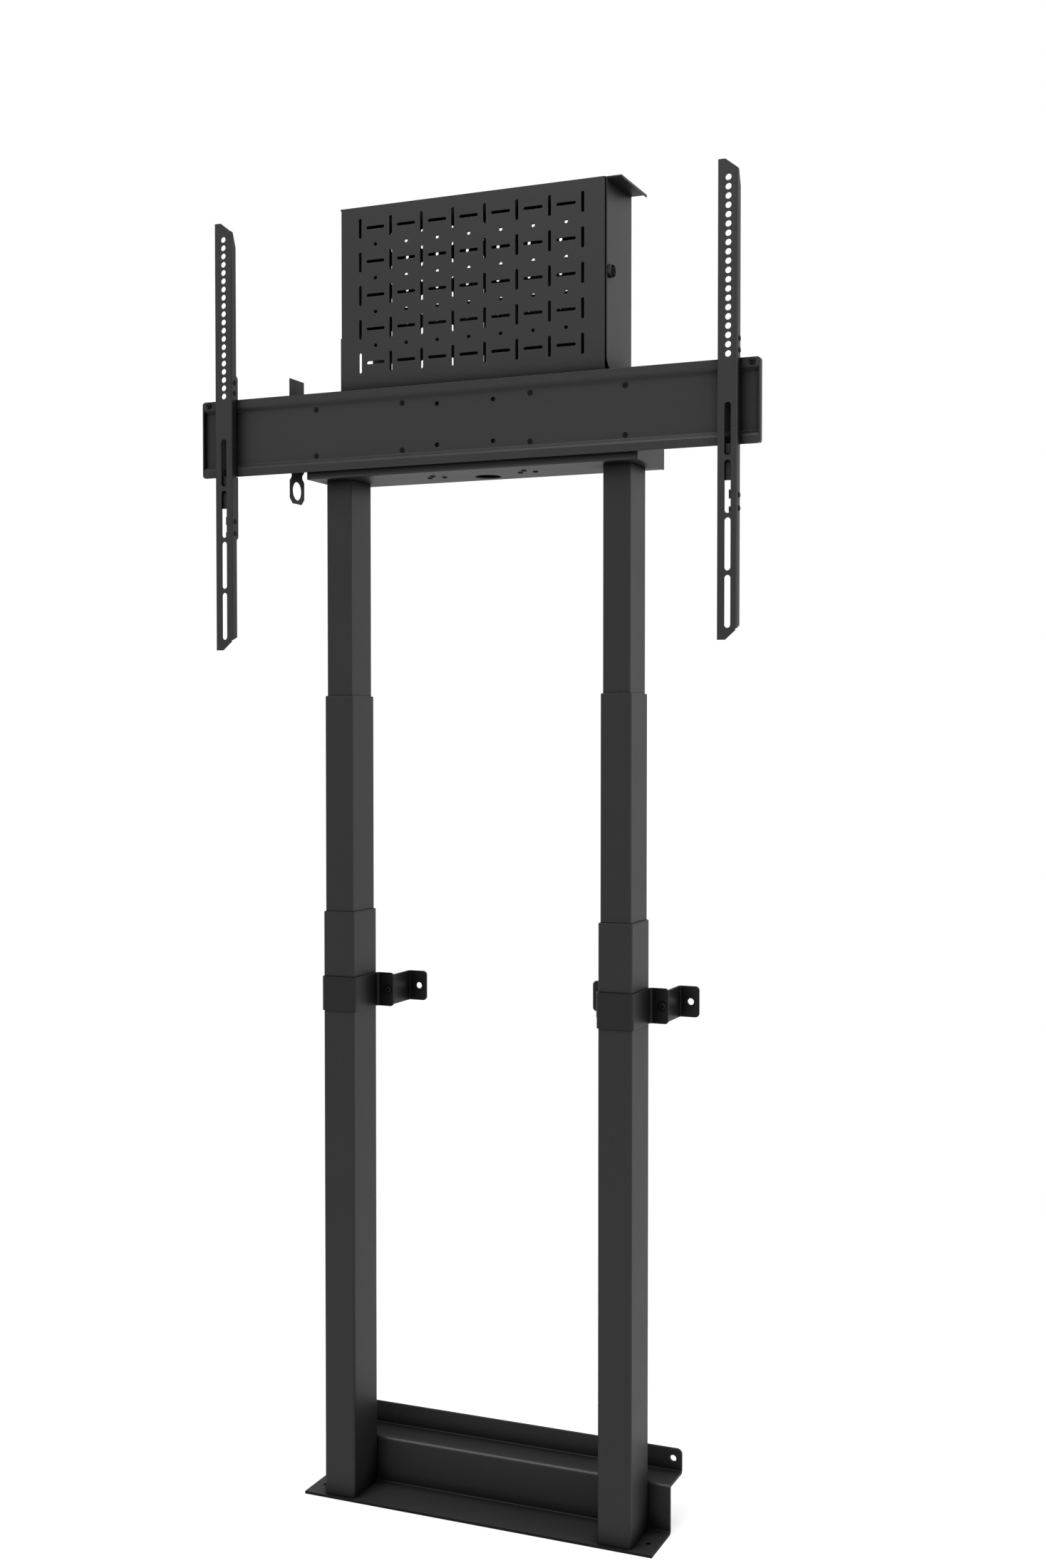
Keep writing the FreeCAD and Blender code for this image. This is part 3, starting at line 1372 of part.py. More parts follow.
def knob_lug():
    """Threaded lug behind the right edge of the front plate."""
    back = HOLDER_FRONT + SHEET
    low = KNOB_HEIGHT - LUG_HEIGHT / 2
    lug = block(HALF_HOLDER - SHEET, HALF_HOLDER, back, back + LUG_DEPTH, low, low + LUG_HEIGHT)
    return lug.cut(knob_hole(HALF_HOLDER - SHEET, HALF_HOLDER))


def holder_front():
    """Perforated front plate with a foot on the crossbeam and a left cheek."""
    half = SHEET / 2
    face = HOLDER_FRONT + half
    foot = BEAM_TOP + half
    path = [(HOLDER_FRONT + HOLDER_FOOT_DEPTH, foot), (face, foot), (face, HOLDER_TOP)]
    sheet = bent_sheet(path, SHEET, HOLDER_BEND, lambda u, v: V(-HALF_HOLDER, u, v), V(HOLDER_WIDTH, 0, 0))
    corner = block(
        -HALF_HOLDER,
        CORNER_STRIP - HALF_HOLDER,
        HOLDER_FRONT,
        HOLDER_FRONT + SHEET,
        LEFT_CHEEK_BOTTOM,
        HOLDER_TOP - SHEET,
    )
    ear = block(
        -HALF_HOLDER - HOLDER_FOOT_EAR,
        -HALF_HOLDER,
        HOLDER_FRONT + SHEET + HOLDER_BEND,
        HOLDER_FRONT + HOLDER_FOOT_DEPTH,
        BEAM_TOP,
        BEAM_TOP + SHEET,
    )
    wires = perforation(0, HOLDER_TOP, HOLDER_FRONT) + cross_slots(0, HOLDER_TOP, HOLDER_FRONT)
    tools = [Part.Face(wire).extrude(V(0, SHEET, 0)) for wire in wires] + top_screw_holes()
    shell = fused([sheet.cut(corner), left_cheek(), ear, knob_lug()] + roof_clips())
    return cut_all(shell, tools)


def holder_screws():
    """Screws that hold the holder's foot on the crossbeam."""
    return top_screws(foot_screw_places(), BEAM_TOP + SHEET)


def rail_screws():
    """Screws that hold the rail on the crossbeam."""
    return top_screws(rail_screw_places(), BEAM_TOP + RAIL_FLOOR)


def tray_rail():
    """Grooved rail at the back of the crossbeam, in which the tray slides."""
    half = HALF_HOLDER
    top = BEAM_TOP + RAIL_HEIGHT
    floor = BEAM_TOP + RAIL_FLOOR
    body = block(-half, half, RAIL_FRONT, BEAM_REAR, BEAM_TOP, top)
    foot = block(-half, half, RAIL_FRONT - RAIL_FOOT, RAIL_FRONT, BEAM_TOP, floor)
    groove = block(-half, half, RAIL_FRONT + RAIL_WALL, BEAM_REAR - RAIL_WALL, floor, top)
    return cut_all(fused([body, foot]).cut(groove), top_screw_holes())


def tray_roof():
    """Roof of the tray, with a lip on its right end to pull it by."""
    roof = HOLDER_TOP - SHEET / 2
    right = CHEEK_INSIDE + SHEET / 2 + TRAY_ROOF_OVERHANG
    path = [(-HALF_HOLDER, roof), (right, roof), (right, HOLDER_TOP - TRAY_LIP)]
    depth = TRAY_REAR - TRAY_FRONT
    return bent_sheet(path, SHEET, HOLDER_BEND, lambda u, v: V(u, TRAY_FRONT, v), V(0, depth, 0))


def right_cheek():
    """Right cheek with a large round at its lower front corner."""
    low = BEAM_TOP + RIGHT_CHEEK_GAP
    high = HOLDER_TOP - SHEET
    plate = block(CHEEK_INSIDE, CHEEK_INSIDE + SHEET, TRAY_FRONT, TRAY_REAR - SHEET, low, high)
    a = V(CHEEK_INSIDE, TRAY_FRONT, low)
    b = V(CHEEK_INSIDE + SHEET, TRAY_FRONT, low)
    plate = round_corners(plate, TRAY_CORNER, lambda edge: edge_between(edge, a, b))
    return plate.cut(knob_hole(CHEEK_INSIDE, CHEEK_INSIDE + SHEET))


def tray_back():
    """Perforated back plate of the tray, down into the rail."""
    left = -HALF_HOLDER
    right = CHEEK_INSIDE + SHEET
    y = TRAY_REAR - SHEET
    rail_top = BEAM_TOP + RAIL_HEIGHT
    corners = [
        V(left, y, TRAY_BOTTOM),
        V(HALF_HOLDER, y, TRAY_BOTTOM),
        V(HALF_HOLDER, y, rail_top),
        V(right, y, rail_top),
        V(right, y, HOLDER_TOP - SHEET),
        V(left, y, HOLDER_TOP - SHEET),
    ]
    plate = Part.Face(Part.makePolygon(corners + corners[:1])).extrude(V(0, SHEET, 0))
    top = HOLDER_TOP + TRAY_PATTERN_SHIFT_Z
    wires = perforation(TRAY_PATTERN_SHIFT_X, top, y) + cross_slots(TRAY_PATTERN_SHIFT_X, top, y)
    return cut_all(plate, [Part.Face(wire).extrude(V(0, SHEET, 0)) for wire in wires])


def media_tray():
    """Slide-out tray of a back plate, a right cheek and a roof."""
    return fused([tray_back(), tray_roof(), right_cheek()])


def lock_knob():
    """Grooved thumb screw that locks the tray."""
    y = TRAY_FRONT + KNOB_FROM_FRONT
    face = CHEEK_INSIDE + SHEET
    start = V(face, y, KNOB_HEIGHT)
    end = V(face + KNOB_LENGTH, y, KNOB_HEIGHT)
    head = rod(KNOB_RADIUS, start, end)
    rims = [edge for edge in head.Edges if edge.Curve.TypeId == "Part::GeomCircle"]
    head = head.makeFillet(KNOB_ROUND, [edge for edge in rims if abs(edge.Curve.Center.x - end.x) < KNOB_ROUND])
    grooves = []
    for i in range(KNOB_GROOVES):
        angle = 2 * math.pi * i / KNOB_GROOVES
        out = V(0, math.cos(angle) * KNOB_RADIUS, math.sin(angle) * KNOB_RADIUS)
        low = start + out + V(KNOB_ROUND, 0, 0)
        grooves.append(rod(KNOB_GROOVE_RADIUS, low, end + out))
    shaft = rod(KNOB_SHAFT_RADIUS, start, start - V(KNOB_SHAFT_LENGTH, 0, 0))
    return cut_all(head, grooves).fuse(shaft)


def all_nodes():
    """Every piece by its name."""
    nodes = {
        "base_bracket": base_bracket(),
        "foot_screws": foot_screws(),
        "strap_screws": strap_screws(),
        "crossbeam": crossbeam(),
        "beam_cover": beam_cover(),
        "beam_cap_left": beam_cap(-1),
        "beam_cap_right": beam_cap(1),
        "control_unit": electronics_case(-1),
        "power_supply": electronics_case(1),
        "case_screws": case_screws(),
        "head_screws": head_screws(),
        "screen_bar": screen_bar(),
        "bar_screws": bar_screws(),
        "end_stops": end_stops(),
        "cable_ring": cable_ring(),
        "holder_front": holder_front(),
        "holder_screws": holder_screws(),
        "tray_rail": tray_rail(),
        "rail_screws": rail_screws(),
        "media_tray": media_tray(),
        "lock_knob": lock_knob(),
    }
    column_pieces = (
        outer_tube,
        outer_glide,
        mid_tube,
        mid_glide,
        inner_tube,
        lower_nut,
        upper_nut,
        lower_screw,
        upper_screw,
        motor,
        gearbox,
        foot_plate,
        head_plate,
        clamp_strap,
        wall_bracket,
    )
    for side in COLUMN_X:
        for piece in column_pieces:
            nodes[piece.__name__ + "_" + side] = piece(side)
    for side, way in (("left", -1), ("right", 1)):
        for piece in (screen_arm, hook_bracket, lock_plate, arm_fasteners):
            nodes[piece.__name__ + "_" + side] = piece(way)
    return nodes


os.makedirs("parts", exist_ok=True)
for name, shape in all_nodes().items():
    shape.exportStep("parts/" + name + ".step")
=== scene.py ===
import math
import bpy
from mathutils import Matrix, Vector


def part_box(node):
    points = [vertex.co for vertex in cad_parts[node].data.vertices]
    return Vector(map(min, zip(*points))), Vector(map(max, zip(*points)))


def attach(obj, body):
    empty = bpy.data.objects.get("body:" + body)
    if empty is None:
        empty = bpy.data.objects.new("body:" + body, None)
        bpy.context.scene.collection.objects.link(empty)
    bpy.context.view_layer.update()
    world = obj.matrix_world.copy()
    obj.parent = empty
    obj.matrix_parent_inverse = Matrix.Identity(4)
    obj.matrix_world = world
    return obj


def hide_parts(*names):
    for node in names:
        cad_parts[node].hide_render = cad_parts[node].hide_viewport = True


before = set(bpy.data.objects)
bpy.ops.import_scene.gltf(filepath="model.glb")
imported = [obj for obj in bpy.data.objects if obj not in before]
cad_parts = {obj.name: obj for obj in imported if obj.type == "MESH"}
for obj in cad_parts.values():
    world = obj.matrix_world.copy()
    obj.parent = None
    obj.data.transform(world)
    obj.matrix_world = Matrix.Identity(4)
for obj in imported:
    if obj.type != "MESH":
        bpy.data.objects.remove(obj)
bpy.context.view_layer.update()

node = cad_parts


# Camera. It stands in front of the mount and to its right, a little above
# its middle, and looks very slightly down.
tilt_down, turn_left = 1.55, 23.16
camera_data = bpy.data.cameras.new("photo_camera")
camera_data.lens = 41.81
camera_data.sensor_width = 36.0
camera = bpy.data.objects.new("photo_camera", camera_data)
camera.location = (1.1246, -2.483, 1.175)
camera.rotation_euler = (math.radians(90 - tilt_down), 0, math.radians(turn_left))
bpy.context.scene.collection.objects.link(camera)
bpy.context.scene.camera = camera
bpy.context.scene.view_settings.view_transform = "Standard"


# Studio. White paper under soft boxes: the camera sees the paper bright, with
# the mount's soft shadow on it, and the far parts fade into the white room.
def deselect():
    """Leaves edit mode and selects nothing."""
    if bpy.context.object and bpy.context.object.mode != "OBJECT":
        bpy.ops.object.mode_set(mode="OBJECT")
    bpy.ops.object.select_all(action="DESELECT")


floor_radius, floor_drop = 14, 0.0006
deselect()
bpy.ops.mesh.primitive_circle_add(
    vertices=96, radius=floor_radius, fill_type="NGON", location=(0, 0, -floor_drop)
)
floor = bpy.context.object
floor.name = "studio_floor"
bpy.ops.object.transform_apply()

# Paper that glows a little for the camera, for mirrors and for glass, and
# turns to plain white further out.
paper = bpy.data.materials.new("studio_paper")
paper.use_nodes = True
nodes, links = paper.node_tree.nodes, paper.node_tree.links
sheet = nodes["Principled BSDF"]
sheet.inputs["Base Color"].default_value = (0.8, 0.8, 0.8, 1)
sheet.inputs["Roughness"].default_value = 0.9
sheet.inputs["Specular IOR Level"].default_value = 0.1
seen = nodes.new("ShaderNodeLightPath")
mirrored = nodes.new("ShaderNodeMath")
mirrored.operation = "MAXIMUM"
seen_at_all = nodes.new("ShaderNodeMath")
seen_at_all.operation = "MAXIMUM"
lift = nodes.new("ShaderNodeMath")
lift.operation = "MULTIPLY"
lift.inputs[1].default_value = 0.55
shine = nodes.new("ShaderNodeEmission")
shine.inputs["Color"].default_value = (1, 1, 1, 1)
lit = nodes.new("ShaderNodeAddShader")
where = nodes.new("ShaderNodeTexCoord")
away = nodes.new("ShaderNodeVectorMath")
away.operation = "LENGTH"
fade = nodes.new("ShaderNodeMapRange")
fade.interpolation_type = "SMOOTHSTEP"
fade.inputs["From Min"].default_value = 0.9
fade.inputs["From Max"].default_value = 2.4
glow = nodes.new("ShaderNodeEmission")
glow.inputs["Color"].default_value = (1, 1, 1, 1)
glow.inputs["Strength"].default_value = 1.0
blend = nodes.new("ShaderNodeMixShader")
links.new(seen.outputs["Is Glossy Ray"], mirrored.inputs[0])
links.new(seen.outputs["Is Transmission Ray"], mirrored.inputs[1])
links.new(seen.outputs["Is Camera Ray"], seen_at_all.inputs[0])
links.new(mirrored.outputs["Value"], seen_at_all.inputs[1])
links.new(seen_at_all.outputs["Value"], lift.inputs[0])
links.new(lift.outputs["Value"], shine.inputs["Strength"])
links.new(sheet.outputs["BSDF"], lit.inputs[0])
links.new(shine.outputs["Emission"], lit.inputs[1])
links.new(where.outputs["Object"], away.inputs[0])
links.new(away.outputs["Value"], fade.inputs["Value"])
links.new(fade.outputs["Result"], blend.inputs["Fac"])
links.new(lit.outputs["Shader"], blend.inputs[1])
links.new(glow.outputs["Emission"], blend.inputs[2])
links.new(blend.outputs["Shader"], nodes["Material Output"].inputs["Surface"])
floor.data.materials.append(paper)

# Dim white room that the camera, mirrors and glass see as bright white.
world = bpy.data.worlds.new("studio")
bpy.context.scene.world = world
world.use_nodes = True
nodes, links = world.node_tree.nodes, world.node_tree.links
room = nodes["Background"]
room.inputs["Color"].default_value = (1, 1, 1, 1)
room.inputs["Strength"].default_value = 0.36
backdrop = nodes.new("ShaderNodeBackground")
backdrop.inputs["Color"].default_value = (1, 1, 1, 1)
backdrop.inputs["Strength"].default_value = 1.0
path = nodes.new("ShaderNodeLightPath")
mirrored = nodes.new("ShaderNodeMath")
mirrored.operation = "MAXIMUM"
either = nodes.new("ShaderNodeMath")
either.operation = "MAXIMUM"
mix = nodes.new("ShaderNodeMixShader")
links.new(path.outputs["Is Glossy Ray"], mirrored.inputs[0])
links.new(path.outputs["Is Transmission Ray"], mirrored.inputs[1])
links.new(path.outputs["Is Camera Ray"], either.inputs[0])
links.new(mirrored.outputs["Value"], either.inputs[1])
links.new(either.outputs["Value"], mix.inputs["Fac"])
links.new(room.outputs["Background"], mix.inputs[1])
links.new(backdrop.outputs["Background"], mix.inputs[2])
links.new(mix.outputs["Shader"], nodes["World Output"].inputs["Surface"])


def soft_box(name, place, target, width, height, power):
    """Rectangular lamp that faces a point."""
    lamp_data = bpy.data.lights.new(name, "AREA")
    lamp_data.shape = "RECTANGLE"
    lamp_data.size = width
    lamp_data.size_y = height
    lamp_data.energy = power
    lamp = bpy.data.objects.new(name, lamp_data)
    lamp.location = place
    lamp.rotation_euler = (Vector(target) - Vector(place)).to_track_quat("-Z", "Y").to_euler()
    bpy.context.scene.collection.objects.link(lamp)


soft_box("right_box", place=(3.8, -0.4, 1.7), target=(0, 0, 1.0), width=2.0, height=2.8, power=34)
soft_box("top_box", place=(-0.4, -2.2, 4.2), target=(0, 0, 1.0), width=2.6, height=1.8, power=60)
soft_box("overhead_box", place=(0.2, -0.35, 6.0), target=(0, 0, 0), width=3.0, height=1.0, power=75)
soft_box(
    "floor_bounce", place=(0.4, -1.6, 0.02), target=(0.2, 0, 1.6), width=2.4, height=1.0, power=3
)


# Columns. Drawn steel tubes of three sizes that slide in one another, powder coated in a
# fine-textured satin black. The coat is a little lighter along the edges, where it thins and where
# a highlight is painted.
def new_group(name, inputs, outputs):
    """Empty shader group with named sockets."""
    group = bpy.data.node_groups.new(name, "ShaderNodeTree")
    for socket, kind, value in inputs:
        made = group.interface.new_socket(socket, in_out="INPUT", socket_type=kind)
        made.default_value = value
    for socket, kind in outputs:
        group.interface.new_socket(socket, in_out="OUTPUT", socket_type=kind)
    start = group.nodes.new("NodeGroupInput")
    end = group.nodes.new("NodeGroupOutput")
    return group, group.nodes, group.links, start, end


# Grain, clouds and specks of the coat.
grain, nodes, links, start, end = new_group(
    "coat_grain",
    [("Grain per metre", "NodeSocketFloat", 1500.0), ("Cloud per metre", "NodeSocketFloat", 9.0)],
    [("Height", "NodeSocketFloat"), ("Cloud", "NodeSocketFloat"), ("Speck", "NodeSocketFloat")],
)
place = nodes.new("ShaderNodeTexCoord")
fine = nodes.new("ShaderNodeTexNoise")
fine.inputs["Detail"].default_value = 3.0
fine.inputs["Roughness"].default_value = 0.6
cells = nodes.new("ShaderNodeTexVoronoi")
cells.feature = "SMOOTH_F1"
cells.inputs["Smoothness"].default_value = 0.6
half = nodes.new("ShaderNodeMath")
half.operation = "MULTIPLY"
half.inputs[1].default_value = 0.45
both = nodes.new("ShaderNodeMath")
both.operation = "ADD"
cloud = nodes.new("ShaderNodeTexNoise")
cloud.inputs["Detail"].default_value = 5.0
speck = nodes.new("ShaderNodeMapRange")
speck.inputs["From Min"].default_value = 0.56
speck.inputs["From Max"].default_value = 0.74
links.new(place.outputs["Object"], fine.inputs["Vector"])
links.new(place.outputs["Object"], cells.inputs["Vector"])
links.new(place.outputs["Object"], cloud.inputs["Vector"])
links.new(start.outputs["Grain per metre"], fine.inputs["Scale"])
links.new(start.outputs["Grain per metre"], half.inputs[0])
links.new(half.outputs["Value"], cells.inputs["Scale"])
links.new(start.outputs["Cloud per metre"], cloud.inputs["Scale"])
links.new(fine.outputs["Fac"], both.inputs[0])
links.new(cells.outputs["Distance"], both.inputs[1])
links.new(fine.outputs["Fac"], speck.inputs["Value"])
links.new(both.outputs["Value"], end.inputs["Height"])
links.new(cloud.outputs["Fac"], end.inputs["Cloud"])
links.new(speck.outputs["Result"], end.inputs["Speck"])

# Rounded edges, and a lighter mask along them: partly thin coat, partly painted highlight.
edges, nodes, links, start, end = new_group(
    "edge_wear_and_highlight",
    [("Edge radius", "NodeSocketFloat", 0.0008), ("Breaks per metre", "NodeSocketFloat", 160.0)],
    [("Edge", "NodeSocketFloat"), ("Normal", "NodeSocketVector")],
)
rounded = nodes.new("ShaderNodeBevel")
rounded.samples = 6
plain = nodes.new("ShaderNodeNewGeometry")
alike = nodes.new("ShaderNodeVectorMath")
alike.operation = "DOT_PRODUCT"
turned = nodes.new("ShaderNodeMapRange")
turned.inputs["From Min"].default_value = 0.995
turned.inputs["From Max"].default_value = 0.86
place = nodes.new("ShaderNodeTexCoord")
breaks = nodes.new("ShaderNodeTexNoise")
breaks.inputs["Detail"].default_value = 4.0
uneven = nodes.new("ShaderNodeMapRange")
uneven.inputs["From Min"].default_value = 0.3
uneven.inputs["From Max"].default_value = 0.65
uneven.inputs["To Min"].default_value = 0.35
product = nodes.new("ShaderNodeMath")
product.operation = "MULTIPLY"
links.new(start.outputs["Edge radius"], rounded.inputs["Radius"])
links.new(rounded.outputs["Normal"], alike.inputs[0])
links.new(plain.outputs["True Normal"], alike.inputs[1])
links.new(alike.outputs["Value"], turned.inputs["Value"])
links.new(place.outputs["Object"], breaks.inputs["Vector"])
links.new(start.outputs["Breaks per metre"], breaks.inputs["Scale"])
links.new(breaks.outputs["Fac"], uneven.inputs["Value"])
links.new(turned.outputs["Result"], product.inputs[0])
links.new(uneven.outputs["Result"], product.inputs[1])
links.new(product.outputs["Value"], end.inputs["Edge"])
links.new(rounded.outputs["Normal"], end.inputs["Normal"])

# How open a place is, from 0 in a crease to 1 on a free face; it guides the painted shade.
crease, nodes, links, start, end = new_group(
    "crease_shade",
    [("Reach", "NodeSocketFloat", 0.05)],
    [("Open", "NodeSocketFloat")],
)
around = nodes.new("ShaderNodeAmbientOcclusion")
around.samples = 8
opened = nodes.new("ShaderNodeMapRange")
opened.interpolation_type = "SMOOTHSTEP"
opened.inputs["From Min"].default_value = 0.35
opened.inputs["From Max"].default_value = 0.95
links.new(start.outputs["Reach"], around.inputs["Distance"])
links.new(around.outputs["AO"], opened.inputs["Value"])
links.new(opened.outputs["Result"], end.inputs["Open"])


def finish_material(
    name, dark, light, edge, roughness, specular, grain_size, depth, reach=0.05, **sockets
):
    """Grained, clouded surface with lighter edges, partly worn and partly painted highlight, and
    with painted shade in creases and where it turns away.
    """
    painted_shade_share, gloss_spread = 0.3, 0.05
    made = bpy.data.materials.new(name)
    made.use_nodes = True
    nodes, links = made.node_tree.nodes, made.node_tree.links
    skin = nodes["Principled BSDF"]
    for socket, value in sockets.items():
        skin.inputs[socket.replace("_", " ")].default_value = value
    # Clouded coat with specks, lighter along its edges: partly worn coat, partly painted highlight.
    texture = nodes.new("ShaderNodeGroup")
    texture.node_tree = grain
    texture.inputs["Grain per metre"].default_value = grain_size
    rim = nodes.new("ShaderNodeGroup")
    rim.node_tree = edges
    tone = nodes.new("ShaderNodeMix")
    tone.data_type = "RGBA"
    tone.inputs["A"].default_value = (*dark, 1)
    tone.inputs["B"].default_value = (*light, 1)
    dots = nodes.new("ShaderNodeMix")
    dots.data_type = "RGBA"
    dots.inputs["B"].default_value = (*[(a + b) / 2 for a, b in zip(light, edge)], 1)
    wear_and_highlight = nodes.new("ShaderNodeMix")
    wear_and_highlight.data_type = "RGBA"
    wear_and_highlight.inputs["B"].default_value = (*edge, 1)
    # Painted shade: darker in creases, and where it turns away from the eye.
    corner = nodes.new("ShaderNodeGroup")
    corner.node_tree = crease
    corner.inputs["Reach"].default_value = reach
    shaded = nodes.new("ShaderNodeMix")
    shaded.data_type = "RGBA"
    shaded.inputs["A"].default_value = (*[painted_shade_share * value for value in dark], 1)
    turned = nodes.new("ShaderNodeLayerWeight")
    turned.inputs["Blend"].default_value = 0.5
    grazing = nodes.new("ShaderNodeMapRange")
    grazing.inputs["From Min"].default_value = 0.62
    grazing.inputs["From Max"].default_value = 0.95
    grazing.inputs["To Min"].default_value = 1.0
    grazing.inputs["To Max"].default_value = 0.1
    lit_part = nodes.new("ShaderNodeMath")
    lit_part.operation = "MULTIPLY"
    # Gloss that varies with the clouds, and a fine grain.
    gloss = nodes.new("ShaderNodeMapRange")
    gloss.inputs["To Min"].default_value = roughness - gloss_spread
    gloss.inputs["To Max"].default_value = roughness + gloss_spread
    # Painted shade also dims the reflection in creases and where the face turns away.
    mirror = nodes.new("ShaderNodeMapRange")
    mirror.inputs["To Min"].default_value = 0.0
    mirror.inputs["To Max"].default_value = specular
    bump = nodes.new("ShaderNodeBump")
    bump.inputs["Strength"].default_value = 0.6
    bump.inputs["Distance"].default_value = depth
    links.new(texture.outputs["Cloud"], tone.inputs["Factor"])
    links.new(texture.outputs["Speck"], dots.inputs["Factor"])
    links.new(tone.outputs["Result"], dots.inputs["A"])
    links.new(dots.outputs["Result"], wear_and_highlight.inputs["A"])
    links.new(rim.outputs["Edge"], wear_and_highlight.inputs["Factor"])
    links.new(wear_and_highlight.outputs["Result"], shaded.inputs["B"])
    links.new(turned.outputs["Facing"], grazing.inputs["Value"])
    links.new(corner.outputs["Open"], lit_part.inputs[0])
    links.new(grazing.outputs["Result"], lit_part.inputs[1])
    links.new(lit_part.outputs["Value"], shaded.inputs["Factor"])
    links.new(shaded.outputs["Result"], skin.inputs["Base Color"])
    links.new(lit_part.outputs["Value"], mirror.inputs["Value"])
    links.new(mirror.outputs["Result"], skin.inputs["Specular IOR Level"])
    links.new(texture.outputs["Cloud"], gloss.inputs["Value"])
    links.new(gloss.outputs["Result"], skin.inputs["Roughness"])
    links.new(texture.outputs["Height"], bump.inputs["Height"])
    links.new(rim.outputs["Normal"], bump.inputs["Normal"])
    links.new(bump.outputs["Normal"], skin.inputs["Normal"])
    return made


def dress(names, material):
    """Gives CAD nodes their finish."""
    for name in names:
        node[name].data.materials.clear()
        node[name].data.materials.append(material)


def pair(*names):
    """Left and right node of each name."""
    return [name + side for name in names for side in ("_left", "_right")]


column_coat = finish_material(
    "column_coat",
    dark=(0.012, 0.012, 0.0125),
    light=(0.016, 0.016, 0.0165),
    edge=(0.024, 0.024, 0.025),
    roughness=0.46,
    specular=0.27,
    grain_size=1300,
    depth=0.00006,
)
dress(pair("outer_tube", "mid_tube", "inner_tube"), column_coat)


# Sheet metal. The laser-cut and bent pieces: crossbeam, bar, arms, hooks and
# holder. Same black powder on thicker sheet, with a slightly coarser skin.
sheet_powder = dict(
    dark=(0.014, 0.014, 0.0145),
    light=(0.019, 0.019, 0.02),
    edge=(0.034, 0.034, 0.035),
    roughness=0.46,
    specular=0.3,
    grain_size=1100,
    depth=0.00008,
)
sheet_coat = finish_material("sheet_coat", **sheet_powder)
dress(
    ["crossbeam", "beam_cover", "beam_cap_left", "beam_cap_right"]
    + ["screen_bar", "cable_ring", "holder_front"]
    + pair("screen_arm", "hook_bracket", "lock_plate"),
    sheet_coat,
)


# Tray. Bent from the same sheet. The space under its roof and between its plates gets a deeper
# painted shade, from a longer reach of the crease shade.
tray_coat = finish_material("tray_coat", **sheet_powder, reach=0.12)
dress(["media_tray"], tray_coat)


# Floor bracket. One long bent sheet in the same powder, painted lighter in tone than the rest as
# painted light for its low place. A painted highlight lies along its outer bends that face up and
# forward, as fine lighter lines.
base_coat = finish_material(
    "base_coat",
    dark=(0.027, 0.027, 0.0275),
    light=(0.033, 0.033, 0.034),
    edge=(0.06, 0.06, 0.061),
    roughness=0.5,
    specular=0.12,
    grain_size=1100,
    depth=0.00006,
    reach=0.03,
)
# Painted highlight: a light line on the bends that face up and forward, kept out of creases.
nodes, links = base_coat.node_tree.nodes, base_coat.node_tree.links
skin = nodes["Principled BSDF"]
coated = skin.inputs["Base Color"].links[0].from_socket
corner = next(one for one in nodes if one.type == "GROUP" and one.node_tree == crease)
facing = nodes.new("ShaderNodeNewGeometry")
towards = nodes.new("ShaderNodeVectorMath")
towards.operation = "DOT_PRODUCT"
towards.inputs[1].default_value = (0, -0.707, 0.707)
on_bend = nodes.new("ShaderNodeMapRange")
on_bend.inputs["From Min"].default_value = 0.94
on_bend.inputs["From Max"].default_value = 0.99
highlight_clear = nodes.new("ShaderNodeMapRange")
highlight_clear.inputs["From Min"].default_value = 0.88
highlight_clear.inputs["From Max"].default_value = 0.97
outer = nodes.new("ShaderNodeMath")
outer.operation = "MULTIPLY"
bend_highlight = nodes.new("ShaderNodeMix")
bend_highlight.data_type = "RGBA"
bend_highlight.inputs["B"].default_value = (0.13, 0.13, 0.13, 1)
links.new(facing.outputs["Normal"], towards.inputs[0])
links.new(towards.outputs["Value"], on_bend.inputs["Value"])
links.new(on_bend.outputs["Result"], outer.inputs[0])
links.new(corner.outputs["Open"], highlight_clear.inputs["Value"])
links.new(highlight_clear.outputs["Result"], outer.inputs[1])
links.new(coated, bend_highlight.inputs["A"])
links.new(outer.outputs["Value"], bend_highlight.inputs["Factor"])
links.new(bend_highlight.outputs["Result"], skin.inputs["Base Color"])
dress(["base_bracket"], base_coat)


# Straps and wall brackets. Pressed from thicker strip, with tight bends, and given a darker,
# glossier black than the rest.
bracket_coat = finish_material(
    "bracket_coat",
    dark=(0.006, 0.006, 0.0065),
    light=(0.009, 0.009, 0.0095),
    edge=(0.03, 0.03, 0.031),
    roughness=0.38,
    specular=0.22,
    grain_size=1000,
    depth=0.00007,
)
dress(pair("clamp_strap", "wall_bracket"), bracket_coat)


# Glides and rail. Moulded black acetal: sleeves in the tube mouths and the
# grooved rail that the tray slides in. Smoother and a touch greyer than the
# coat.
slide_plastic = finish_material(
    "slide_plastic",
    dark=(0.022, 0.022, 0.023),
    light=(0.028, 0.028, 0.029),
    edge=(0.04, 0.04, 0.042),
    roughness=0.38,
    specular=0.4,
    grain_size=700,
    depth=0.00003,
)
dress(pair("outer_glide", "mid_glide") + ["tray_rail"], slide_plastic)


